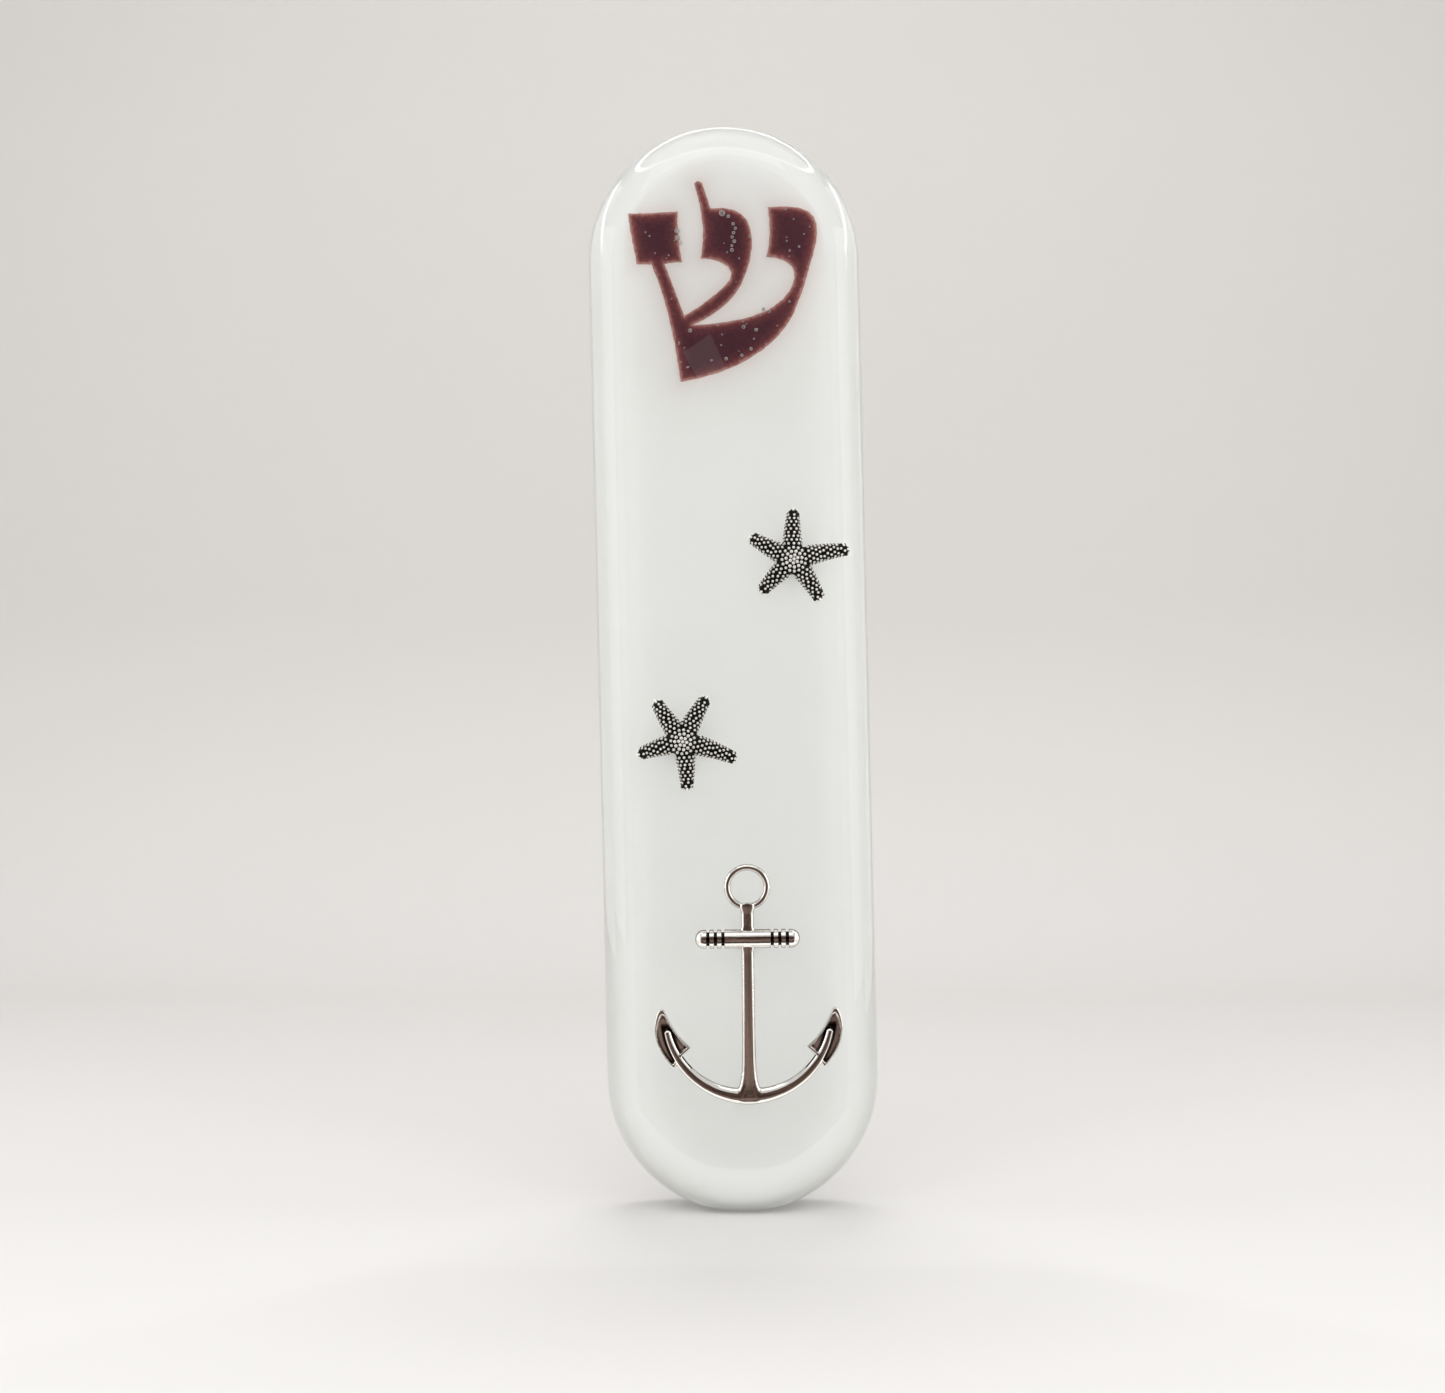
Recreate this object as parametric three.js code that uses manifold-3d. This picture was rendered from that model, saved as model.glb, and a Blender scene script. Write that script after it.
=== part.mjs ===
// A wall-mounted mezuzah case. A tray of white glass is cased in clear glass, and a copper letter lies between
// the two layers. Three cast-metal charms are glued to the front. Behind, a lift-out cover closes the chamber
// that holds the rolled parchment in its clear sleeve, and two foam tapes stick the rim to a doorpost.
//
// Frame, in millimetres: the origin is the middle of the case's back, in the plane of the doorpost. +X is right
// and +Z is up for someone facing the case, and +Y points into the doorpost. Outlines are drawn in the X-Z plane,
// and "depth" is the distance in front of the doorpost, so depth d is the plane Y = -d.

import * as THREE from "three";
import { mergeVertices } from "three/addons/utils/BufferGeometryUtils.js";
import Module from "manifold-3d";

const wasm = await Module();
wasm.setup();

// ---------------------------------------------------------------- driving dimensions

const CASE_LENGTH = 139.6;
const CASE_HALF_WIDTH = 17.4;
const HALF_STRAIGHT = CASE_LENGTH / 2 - CASE_HALF_WIDTH; // from the middle to the centre of each round end
const FIT_GAP = 0.1; // between faces that are fused, glued or rest on each other
const END_SEGMENTS = 20; // along each round end

const TAPE_THICKNESS = 1;
const TAPE_WIDTH = 3.4;
const TAPE_LENGTH = 100;

const RIM_DEPTH = TAPE_THICKNESS + FIT_GAP;
const FRONT_DEPTH = 17;
const EDGE_RADIUS = 6;
const CLEAR_FRONT_THICKNESS = 2.4;
const CLEAR_WALL_THICKNESS = 2.1;
const WHITE_FRONT_THICKNESS = 2.6;
const WHITE_WALL_THICKNESS = 2.9;

const COVER_THICKNESS = 1.5;
const COVER_CLEARANCE = 0.2;
const LEDGE_WIDTH = 1.3;
const NOTCH_RADIUS = 6;

const SLEEVE_RADIUS = 4.1;
const SLEEVE_THICKNESS = 0.2;
const SLEEVE_LENGTH = 104;
const PARCHMENT_LENGTH = 100;
const PARCHMENT_THICKNESS = 0.35;
const PARCHMENT_TURNS = 3.5;
const PARCHMENT_CORE_RADIUS = 1.8;
const PARCHMENT_PITCH = 0.47;

const PAD_SIZE = [8, 10];
const PAD_HEIGHT_FROM_MIDDLE = 38;

const INLAY_THICKNESS = 0.25;
const INLAY_CLEARANCE = 0.1;

const GLUE_THICKNESS = 0.3;

// ---------------------------------------------------------------- places worked out from them

const clearInside = CASE_HALF_WIDTH - CLEAR_WALL_THICKNESS;
const clearInsideDepth = FRONT_DEPTH - CLEAR_FRONT_THICKNESS;
const whiteOutside = clearInside - FIT_GAP;
const whiteFrontDepth = clearInsideDepth - FIT_GAP;
const chamberHalfWidth = whiteOutside - WHITE_WALL_THICKNESS;
const chamberFloorDepth = whiteFrontDepth - WHITE_FRONT_THICKNESS;
const ledgeDepth = RIM_DEPTH + FIT_GAP + COVER_THICKNESS + FIT_GAP;
const rebateHalfWidth = chamberHalfWidth + LEDGE_WIDTH;
const coverHalfWidth = rebateHalfWidth - COVER_CLEARANCE;
const scrollDepth = chamberFloorDepth - FIT_GAP - SLEEVE_RADIUS;
const charmBackDepth = FRONT_DEPTH + GLUE_THICKNESS + 2 * FIT_GAP;

// ---------------------------------------------------------------- materials

const finish = (color, roughness, metalness = 0) =>
  new THREE.MeshStandardMaterial({ color, roughness, metalness });

const materials = {
  whiteGlass: finish(0xe9ebe6, 0.15),
  clearGlass: finish(0xe6eee9, 0.05),
  copperInlay: finish(0x4f2226, 0.3, 0.2),
  agedSilver: finish(0xa9a49c, 0.3, 1),
  clearGlue: finish(0xdfdfd8, 0.4),
  cover: finish(0xc9cbcc, 0.4, 1),
  foam: finish(0x5a5c5e, 0.95),
  tape: finish(0xe4e2dc, 0.9),
  parchment: finish(0xe3d2ab, 0.8),
  sleeve: finish(0xe8ecee, 0.1),
};

// ---------------------------------------------------------------- solids and their meshes

const group = new THREE.Group();

function addMesh(name, geometry, material) {
  const mesh = new THREE.Mesh(geometry, material);
  mesh.name = name;
  group.add(mesh);
  return mesh;
}

// A closed geometry as a manifold-3d solid, for joining and cutting.
function solidOf(geometry) {
  const bare = new THREE.BufferGeometry();
  bare.setAttribute("position", geometry.getAttribute("position"));
  bare.setIndex(geometry.index);
  const merged = mergeVertices(bare, 1e-4);
  return new wasm.Manifold(
    new wasm.Mesh({
      numProp: 3,
      vertProperties: merged.attributes.position.array,
      triVerts: new Uint32Array(merged.index.array),
    }),
  );
}

function geometryOf(solid) {
  const { vertProperties, triVerts } = solid.getMesh();
  const geometry = new THREE.BufferGeometry();
  geometry.setAttribute("position", new THREE.BufferAttribute(vertProperties, 3));
  geometry.setIndex(new THREE.BufferAttribute(triVerts, 1));
  geometry.computeVertexNormals();
  return geometry;
}

const join = (...geometries) =>
  geometryOf(geometries.map(solidOf).reduce((whole, piece) => whole.add(piece)));

const cut = (geometry, ...tools) =>
  geometryOf(tools.map(solidOf).reduce((rest, tool) => rest.subtract(tool), solidOf(geometry)));

// An outline in the X-Z plane, drawn out between two depths. A bevel, if any, is added outside both.
function drawOut(shape, fromDepth, toDepth, options = {}) {
  const geometry = new THREE.ExtrudeGeometry(shape, {
    depth: toDepth - fromDepth,
    bevelEnabled: false,
    ...options,
  });
  return geometry.translate(0, 0, fromDepth).rotateX(Math.PI / 2);
}

// The case's outline: straight sides and full round ends, at a half width.
function stadium(halfWidth) {
  const shape = new THREE.Shape();
  shape.absarc(0, HALF_STRAIGHT, halfWidth, 0, Math.PI);
  shape.absarc(0, -HALF_STRAIGHT, halfWidth, Math.PI, 2 * Math.PI);
  return shape;
}

// A block of that outline with a rounded front edge and a square back.
function roundedBlock(halfWidth, backDepth, frontDepth, radius) {
  const rounded = drawOut(stadium(halfWidth), backDepth, frontDepth - radius, {
    curveSegments: END_SEGMENTS,
    bevelEnabled: true,
    bevelThickness: radius,
    bevelSize: radius,
    bevelOffset: -radius,
    bevelSegments: radius > 3 ? 8 : 2,
  });
  const behind = new THREE.BoxGeometry(4 * halfWidth, 2 * radius, 2 * CASE_LENGTH);
  return cut(rounded, behind.translate(0, radius - backDepth, 0));
}

// ---------------------------------------------------------------- the copper letter

// The plain traditional letter, on even proportions. Three arms rise from one pointed base, each to a squared
// head, and the heads stand at one height with even gaps between them.
const HEAD_TOP = 58.6;
const HEAD_FOOT = 52.3;
const HEAD_WIDTH = 6.1;
const HEAD_PITCH = 8.8;
const BASE_POINT = [-5.85, 36.6];

function letterShape() {
  const headMiddle = (HEAD_TOP + HEAD_FOOT) / 2;
  const [leftHead, middleHead, rightHead] = [-1, 0, 1].map((i) => i * HEAD_PITCH - HEAD_WIDTH / 2);
  const s = new THREE.Shape();
  s.moveTo(...BASE_POINT);
  s.bezierCurveTo(0.8, 37.5, 6.4, 40.5, 8.7, 45); // underside of the base
  s.quadraticCurveTo(10.1, 48.1, 11, 51.4); // right arm, outside
  s.bezierCurveTo(12.2, 54.7, 12.7, HEAD_TOP, rightHead + 2.6, HEAD_TOP); // right shoulder
  s.lineTo(rightHead, HEAD_TOP);
  s.quadraticCurveTo(rightHead + 0.5, headMiddle, rightHead - 0.3, HEAD_FOOT);
  s.bezierCurveTo(rightHead + 3.1, 52.1, 9.8, 50.2, 8.2, 47.8); // bowl left of the right arm
  s.bezierCurveTo(6.1, 44.9, 2, 44, -4.2, 43.8);
  s.bezierCurveTo(-1.1, 45.1, 1.8, 47.2, 2.8, 50.4); // middle arm, underside
  s.bezierCurveTo(4.3, 54.3, 4, HEAD_TOP, middleHead + 2.9, HEAD_TOP); // middle shoulder
  s.lineTo(middleHead + 1.5, HEAD_TOP);
  s.lineTo(middleHead + 0.5, 61.8); // a short crown stroke over the middle head
  s.quadraticCurveTo(middleHead, 62.4, middleHead - 0.5, 61.8);
  s.quadraticCurveTo(middleHead + 1.1, headMiddle + 1, middleHead + 0.1, HEAD_FOOT);
  s.bezierCurveTo(middleHead + 3.7, 52.1, 1.9, 50.3, 0.1, 48.8); // bowl left of the middle arm
  s.quadraticCurveTo(-1.8, 46.9, -5.2, 45);
  s.lineTo(leftHead + 4.3, HEAD_FOOT - 0.6); // left arm, right side
  s.lineTo(leftHead + HEAD_WIDTH + 0.4, HEAD_FOOT - 0.4);
  s.quadraticCurveTo(leftHead + HEAD_WIDTH - 0.2, headMiddle, leftHead + HEAD_WIDTH, HEAD_TOP - 0.3);
  s.lineTo(leftHead, HEAD_TOP - 0.5);
  s.quadraticCurveTo(leftHead + 0.1, headMiddle, leftHead + 0.8, HEAD_FOOT - 0.6);
  s.lineTo(leftHead + 2.6, HEAD_FOOT - 0.6);
  s.quadraticCurveTo(-6.9, 46.3, ...BASE_POINT); // left arm, left side
  return s;
}

const inlayBackDepth = clearInsideDepth + FIT_GAP / 2;
const inlayFrontDepth = inlayBackDepth + INLAY_THICKNESS;
const inlay = drawOut(letterShape(), inlayBackDepth, inlayFrontDepth, { curveSegments: 8 });

// ---------------------------------------------------------------- the glass

const inlayPocket = drawOut(letterShape(), clearInsideDepth - FIT_GAP, inlayFrontDepth + FIT_GAP / 2, {
  curveSegments: 8,
  bevelEnabled: true,
  bevelThickness: FIT_GAP / 4,
  bevelSize: INLAY_CLEARANCE,
  bevelSegments: 1,
});

const clearCap = cut(
  roundedBlock(CASE_HALF_WIDTH, RIM_DEPTH, FRONT_DEPTH, EDGE_RADIUS),
  roundedBlock(clearInside, 0, clearInsideDepth, EDGE_RADIUS - CLEAR_WALL_THICKNESS),
  inlayPocket,
);

const whiteTray = cut(
  roundedBlock(whiteOutside, RIM_DEPTH, whiteFrontDepth, EDGE_RADIUS - CLEAR_WALL_THICKNESS - FIT_GAP),
  roundedBlock(chamberHalfWidth, 0, chamberFloorDepth, 1),
  drawOut(stadium(rebateHalfWidth), 0, ledgeDepth, { curveSegments: END_SEGMENTS }),
);

addMesh("white_glass_tray", whiteTray, materials.whiteGlass);
addMesh("clear_glass_casing", clearCap, materials.clearGlass);
addMesh("copper_letter", inlay, materials.copperInlay);

// ---------------------------------------------------------------- starfish charms

// Each arm's direction in degrees and its length. The same casting is used twice.
const STARFISH_ARMS = [
  { angle: 0, length: 7.2 },
  { angle: 80, length: 6.5 },
  { angle: 142, length: 6.3 },
  { angle: 214.5, length: 6 },
  { angle: 293, length: 6.2 },
];
const ARM_TIP_RADIUS = 0.5;
const ARM_ROOT_HALF_WIDTH = 1.15;
const ARM_ROOT_DISTANCE = 2.1;
const VALLEY_DISTANCE = 1.75;
const STARFISH_THICKNESS = 1.5;
const STARFISH_DOME_RADIUS = 1.5;
const STARFISH_DOME_HEIGHT = 0.6;
const STARFISH_BEVEL = 0.4;

const unit = (degrees) => {
  const angle = THREE.MathUtils.degToRad(degrees);
  return new THREE.Vector2(Math.cos(angle), Math.sin(angle));
};

// The outline of one casting, counter-clockwise from the valley before its first arm.
function starfishShape() {
  const shape = new THREE.Shape();
  STARFISH_ARMS.forEach(({ angle, length }, i) => {
    const along = unit(angle);
    const across = unit(angle + 90);
    const place = (forward, sideways) =>
      along.clone().multiplyScalar(forward).addScaledVector(across, sideways);
    const next = STARFISH_ARMS[(i + 1) % STARFISH_ARMS.length];
    const nextAngle = next.angle + (next.angle < angle ? 360 : 0);
    const valley = unit((angle + nextAngle) / 2).multiplyScalar(VALLEY_DISTANCE);
    const start = place(ARM_ROOT_DISTANCE, -ARM_ROOT_HALF_WIDTH);
    if (i === 0) shape.moveTo(start.x, start.y);
    else shape.lineTo(start.x, start.y);
    const tip = place(length - ARM_TIP_RADIUS, 0);
    const turn = THREE.MathUtils.degToRad(angle);
    shape.absarc(tip.x, tip.y, ARM_TIP_RADIUS, turn - Math.PI / 2, turn + Math.PI / 2);
    const end = place(ARM_ROOT_DISTANCE, ARM_ROOT_HALF_WIDTH);
    shape.lineTo(end.x, end.y);
    shape.lineTo(valley.x, valley.y);
  });
  return shape;
}

function addStarfish(name, x, z, turnDegrees) {
  const body = drawOut(
    starfishShape(),
    charmBackDepth + STARFISH_BEVEL,
    charmBackDepth + STARFISH_THICKNESS - STARFISH_BEVEL,
    {
      curveSegments: 2,
      bevelEnabled: true,
      bevelThickness: STARFISH_BEVEL,
      bevelSize: STARFISH_BEVEL,
      bevelOffset: -STARFISH_BEVEL,
      bevelSegments: 2,
    },
  );
  const top = charmBackDepth + STARFISH_THICKNESS;
  const dome = new THREE.SphereGeometry(STARFISH_DOME_RADIUS, 12, 8);
  dome.scale(1, STARFISH_DOME_HEIGHT / STARFISH_DOME_RADIUS, 1).translate(0, -top, 0);
  const starfish = addMesh(name, join(body, dome), materials.agedSilver);
  starfish.geometry.rotateY(-THREE.MathUtils.degToRad(turnDegrees)).translate(x, 0, z);

  const glue = new THREE.CylinderGeometry(1.6, 1.9, GLUE_THICKNESS, 16);
  glue.translate(x, -(FRONT_DEPTH + FIT_GAP + GLUE_THICKNESS / 2), z);
  addMesh(`${name}_glue`, glue, materials.clearGlue);
}

addStarfish("starfish_upper", 7.95, 13.6, 9.1);
addStarfish("starfish_lower", -6.6, -9.1, -19.4);

// ---------------------------------------------------------------- anchor charm

// The casting's own frame: its origin is the lowest point of the crown, and z runs up the shank.
const ANCHOR_PLACE = { x: 0.75, z: -55.1, leanDegrees: 0.65 };
const STOCK_RADIUS = 1.2;
const STOCK_HALF_LENGTH = 6.6;
const STOCK_HEIGHT = 21;
const STOCK_GROOVES = [3.1, 4.05, 5];
const GROOVE_HALF_WIDTH = 0.2;
const GROOVE_DEPTH = 0.3;
const RING_HEIGHT = 27.5;
const RING_RADIUS = 2.5;
const RING_WIRE_RADIUS = 0.38;
const BEND_RADIUS = 10.95;
const BEND_OUTER_ANGLE = 84; // how far the arms reach up from the crown, on their outside and inside
const BEND_INNER_ANGLE = 78;
const BEND_HALF_THICKNESS = 0.62;
const anchorDepth = charmBackDepth + STOCK_RADIUS;

// The shank, from the crown to the ring: half width at each height.
const SHANK_STATIONS = [
  [0.5, 1.1],
  [2.4, 1.1],
  [4, 0.92],
  [10, 0.82],
  [21, 0.8],
  [25.2, 0.75],
];

function anchorShank() {
  const profile = [
    new THREE.Vector2(0, SHANK_STATIONS[0][0]),
    ...SHANK_STATIONS.map(([height, half]) => new THREE.Vector2(half, height)),
    new THREE.Vector2(0, SHANK_STATIONS.at(-1)[0]),
  ];
  return new THREE.LatheGeometry(profile, 10).scale(1, 1, 0.8).rotateX(Math.PI / 2);
}

// The crossbar: a rod with domed ends and three grooves at each side.
function anchorStock() {
  const half = [[0, STOCK_RADIUS]];
  for (const groove of STOCK_GROOVES) {
    half.push(
      [groove - GROOVE_HALF_WIDTH, STOCK_RADIUS],
      [groove - GROOVE_HALF_WIDTH / 2, STOCK_RADIUS - GROOVE_DEPTH],
      [groove + GROOVE_HALF_WIDTH / 2, STOCK_RADIUS - GROOVE_DEPTH],
      [groove + GROOVE_HALF_WIDTH, STOCK_RADIUS],
    );
  }
  for (const degrees of [30, 60, 90]) {
    const { x: outward, y: along } = unit(degrees);
    half.push([STOCK_HALF_LENGTH - STOCK_RADIUS + along * STOCK_RADIUS, outward * STOCK_RADIUS]);
  }
  const mirrored = half.slice(1).reverse().map(([along, radius]) => [-along, radius]);
  const profile = [...mirrored, ...half].map(([along, radius]) => new THREE.Vector2(Math.max(radius, 0), along));
  profile[0].x = 0;
  profile.at(-1).x = 0;
  return new THREE.LatheGeometry(profile, 12).rotateZ(-Math.PI / 2).translate(0, 0, STOCK_HEIGHT);
}

// The two arms as one crescent, thickest at the crown.
function anchorArms() {
  const shape = new THREE.Shape();
  const middle = BEND_RADIUS + 0.1; // the outer curve's centre
  const reach = (degrees) => THREE.MathUtils.degToRad(270 + degrees);
  shape.absarc(0, middle, BEND_RADIUS, reach(-BEND_OUTER_ANGLE), reach(BEND_OUTER_ANGLE));
  shape.absarc(0, middle + 0.9, BEND_RADIUS - 0.75, reach(BEND_INNER_ANGLE), reach(-BEND_INNER_ANGLE), true);
  return drawOut(shape, -BEND_HALF_THICKNESS + 0.2, BEND_HALF_THICKNESS - 0.2, {
    curveSegments: 10,
    bevelEnabled: true,
    bevelThickness: 0.2,
    bevelSize: 0.15,
    bevelOffset: -0.1,
    bevelSegments: 1,
  });
}

// The palm on the end of an arm: a pointed leaf with a barb on either side. side is 1 on the right.
function anchorPalm(side) {
  const shape = new THREE.Shape();
  shape.moveTo(side * 11.4, 11.7);
  shape.quadraticCurveTo(side * 12.9, 8.4, side * 9.5, 4.8);
  shape.lineTo(side * 8.4, 6.3);
  shape.lineTo(side * 7.5, 7.3);
  shape.quadraticCurveTo(side * 9.3, 9, side * 10.6, 11.8);
  shape.quadraticCurveTo(side * 11, 12.4, side * 11.4, 11.7);
  return drawOut(shape, -0.35, 0.35, {
    curveSegments: 5,
    bevelEnabled: true,
    bevelThickness: 0.2,
    bevelSize: 0.15,
    bevelOffset: -0.15,
    bevelSegments: 1,
  });
}

const anchorRing = new THREE.TorusGeometry(RING_RADIUS, RING_WIRE_RADIUS, 8, 28);
anchorRing.rotateX(Math.PI / 2).translate(0, 0, RING_HEIGHT);
const anchorCrown = new THREE.SphereGeometry(1.5, 12, 8).scale(1.25, 0.5, 0.75).translate(0, 0, 1.5);
const anchor = join(
  anchorShank(),
  anchorStock(),
  anchorArms(),
  anchorPalm(-1),
  anchorPalm(1),
  anchorRing,
  anchorCrown,
);

const placeOnAnchor = (geometry) =>
  geometry
    .rotateY(THREE.MathUtils.degToRad(ANCHOR_PLACE.leanDegrees))
    .translate(ANCHOR_PLACE.x, 0, ANCHOR_PLACE.z);

addMesh("anchor", placeOnAnchor(anchor.translate(0, -anchorDepth, 0)), materials.agedSilver);

// Glue fills the space between the glass and the casting, under its crossbar and under its crown.
function addAnchorGlue(name, height, radius, casting) {
  const top = anchorDepth - casting - FIT_GAP;
  const glue = new THREE.CylinderGeometry(radius, radius * 1.15, top - FRONT_DEPTH - FIT_GAP, 16);
  glue.translate(0, -(top + FRONT_DEPTH + FIT_GAP) / 2, height);
  addMesh(name, placeOnAnchor(glue), materials.clearGlue);
}

addAnchorGlue("anchor_stock_glue", STOCK_HEIGHT, 1, STOCK_RADIUS);
addAnchorGlue("anchor_crown_glue", 1.6, 0.9, 0.8);

// ---------------------------------------------------------------- mounting tapes, on the rim

const tapeMiddle = (CASE_HALF_WIDTH + rebateHalfWidth) / 2;
for (const [name, side] of [["mounting_tape_left", -1], ["mounting_tape_right", 1]]) {
  const tape = new THREE.BoxGeometry(TAPE_WIDTH, TAPE_THICKNESS, TAPE_LENGTH);
  tape.translate(side * tapeMiddle, -TAPE_THICKNESS / 2, 0);
  addMesh(name, tape, materials.tape);
}

// ---------------------------------------------------------------- the lift-out back cover

const coverBackDepth = RIM_DEPTH + FIT_GAP;
const coverPlate = drawOut(stadium(coverHalfWidth), coverBackDepth, coverBackDepth + COVER_THICKNESS, {
  curveSegments: END_SEGMENTS,
});
const notch = new THREE.CylinderGeometry(NOTCH_RADIUS, NOTCH_RADIUS, 4 * COVER_THICKNESS, 32);
notch.translate(0, -coverBackDepth, -(HALF_STRAIGHT + coverHalfWidth));
addMesh("back_cover", cut(coverPlate, notch), materials.cover);

// Foam pads on the cover's inside hold the scroll still.
const padBackDepth = coverBackDepth + COVER_THICKNESS + FIT_GAP;
const padFrontDepth = scrollDepth - SLEEVE_RADIUS - FIT_GAP;
for (const [name, side] of [["cover_pad_upper", 1], ["cover_pad_lower", -1]]) {
  const pad = new THREE.BoxGeometry(PAD_SIZE[0], padFrontDepth - padBackDepth, PAD_SIZE[1]);
  pad.translate(0, -(padBackDepth + padFrontDepth) / 2, side * PAD_HEIGHT_FROM_MIDDLE);
  addMesh(name, pad, materials.foam);
}

// ---------------------------------------------------------------- the parchment and its sleeve

// The rolled sheet's section: out along the spiral on one face, and back along the other.
function scrollShape() {
  const steps = Math.round(PARCHMENT_TURNS * 18);
  const face = (offset) =>
    Array.from({ length: steps + 1 }, (_, i) => {
      const angle = (2 * Math.PI * PARCHMENT_TURNS * i) / steps;
      const radius = PARCHMENT_CORE_RADIUS + offset + (PARCHMENT_PITCH * angle) / (2 * Math.PI);
      return new THREE.Vector2(radius * Math.cos(angle), radius * Math.sin(angle));
    });
  return new THREE.Shape([...face(PARCHMENT_THICKNESS), ...face(0).reverse()]);
}

const scroll = new THREE.ExtrudeGeometry(scrollShape(), { depth: PARCHMENT_LENGTH, bevelEnabled: false });
scroll.translate(0, -scrollDepth, -PARCHMENT_LENGTH / 2);
addMesh("parchment_scroll", scroll, materials.parchment);

const sleeveWall = new THREE.Shape().absarc(0, 0, SLEEVE_RADIUS, 0, 2 * Math.PI);
sleeveWall.holes.push(new THREE.Path().absarc(0, 0, SLEEVE_RADIUS - SLEEVE_THICKNESS, 0, 2 * Math.PI, true));
const sleeve = new THREE.ExtrudeGeometry(sleeveWall, {
  depth: SLEEVE_LENGTH,
  bevelEnabled: false,
  curveSegments: 16,
});
sleeve.translate(0, -scrollDepth, -SLEEVE_LENGTH / 2);
addMesh("scroll_sleeve", sleeve, materials.sleeve);

export default group;
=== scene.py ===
import math
import random

import bmesh
import bpy
import numpy as np
from mathutils import Matrix, Vector, geometry


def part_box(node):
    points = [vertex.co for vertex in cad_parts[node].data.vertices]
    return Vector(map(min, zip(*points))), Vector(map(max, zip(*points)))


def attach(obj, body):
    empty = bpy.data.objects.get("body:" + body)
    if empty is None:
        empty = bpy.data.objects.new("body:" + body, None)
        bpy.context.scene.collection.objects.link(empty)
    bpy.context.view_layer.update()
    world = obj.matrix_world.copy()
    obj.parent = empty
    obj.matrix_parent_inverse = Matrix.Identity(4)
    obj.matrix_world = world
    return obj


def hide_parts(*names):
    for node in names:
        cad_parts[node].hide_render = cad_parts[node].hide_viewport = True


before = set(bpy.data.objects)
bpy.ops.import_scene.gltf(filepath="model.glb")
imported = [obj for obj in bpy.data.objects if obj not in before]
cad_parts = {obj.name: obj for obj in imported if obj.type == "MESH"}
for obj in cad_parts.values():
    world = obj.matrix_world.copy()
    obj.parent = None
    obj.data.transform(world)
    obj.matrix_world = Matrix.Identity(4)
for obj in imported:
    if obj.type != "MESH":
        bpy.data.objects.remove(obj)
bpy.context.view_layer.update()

# Geometry is worked out in millimetres, in the frame's axes, and scaled to metres as each piece is placed.
# Outlines lie in the X-Z plane, and "depth" is the distance in front of the doorpost, so depth d is y = -d.
MM = 0.001


def box_mm(node):
    low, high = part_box(node)
    return low / MM, high / MM


# ---- sizes read from the frame

casing_low, casing_high = box_mm("clear_glass_casing")
tray_low, tray_high = box_mm("white_glass_tray")
cover_low, cover_high = box_mm("back_cover")
sleeve_low, sleeve_high = box_mm("scroll_sleeve")

HALF_WIDTH = casing_high.x
HALF_STRAIGHT = casing_high.z - HALF_WIDTH
FRONT_DEPTH = -casing_low.y
RIM_DEPTH = -casing_high.y
TRAY_HALF_WIDTH = tray_high.x
TRAY_FRONT_DEPTH = -tray_low.y
COVER_HALF_WIDTH = cover_high.x
COVER_BACK_DEPTH = -cover_high.y
COVER_FRONT_DEPTH = -cover_low.y
SLEEVE_RADIUS = sleeve_high.x
SLEEVE_HALF_LENGTH = sleeve_high.z
SCROLL_DEPTH = -(sleeve_low.y + sleeve_high.y) / 2

# The glass's other sizes, as in the CAD.
EDGE_RADIUS = 6.0
GLASS_WALL = 2.1
TRAY_EDGE_RADIUS = EDGE_RADIUS - GLASS_WALL - 0.1
CHAMBER_HALF_WIDTH = 12.3
CHAMBER_FLOOR_DEPTH = 11.9
REBATE_HALF_WIDTH = 13.6
LEDGE_DEPTH = 2.8
FUSED_OVERLAP = 0.04  # the clear glass reaches this far into the white, so that no air gap shows

CHARM_BACK_DEPTH = 17.5


# ---- node materials


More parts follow.
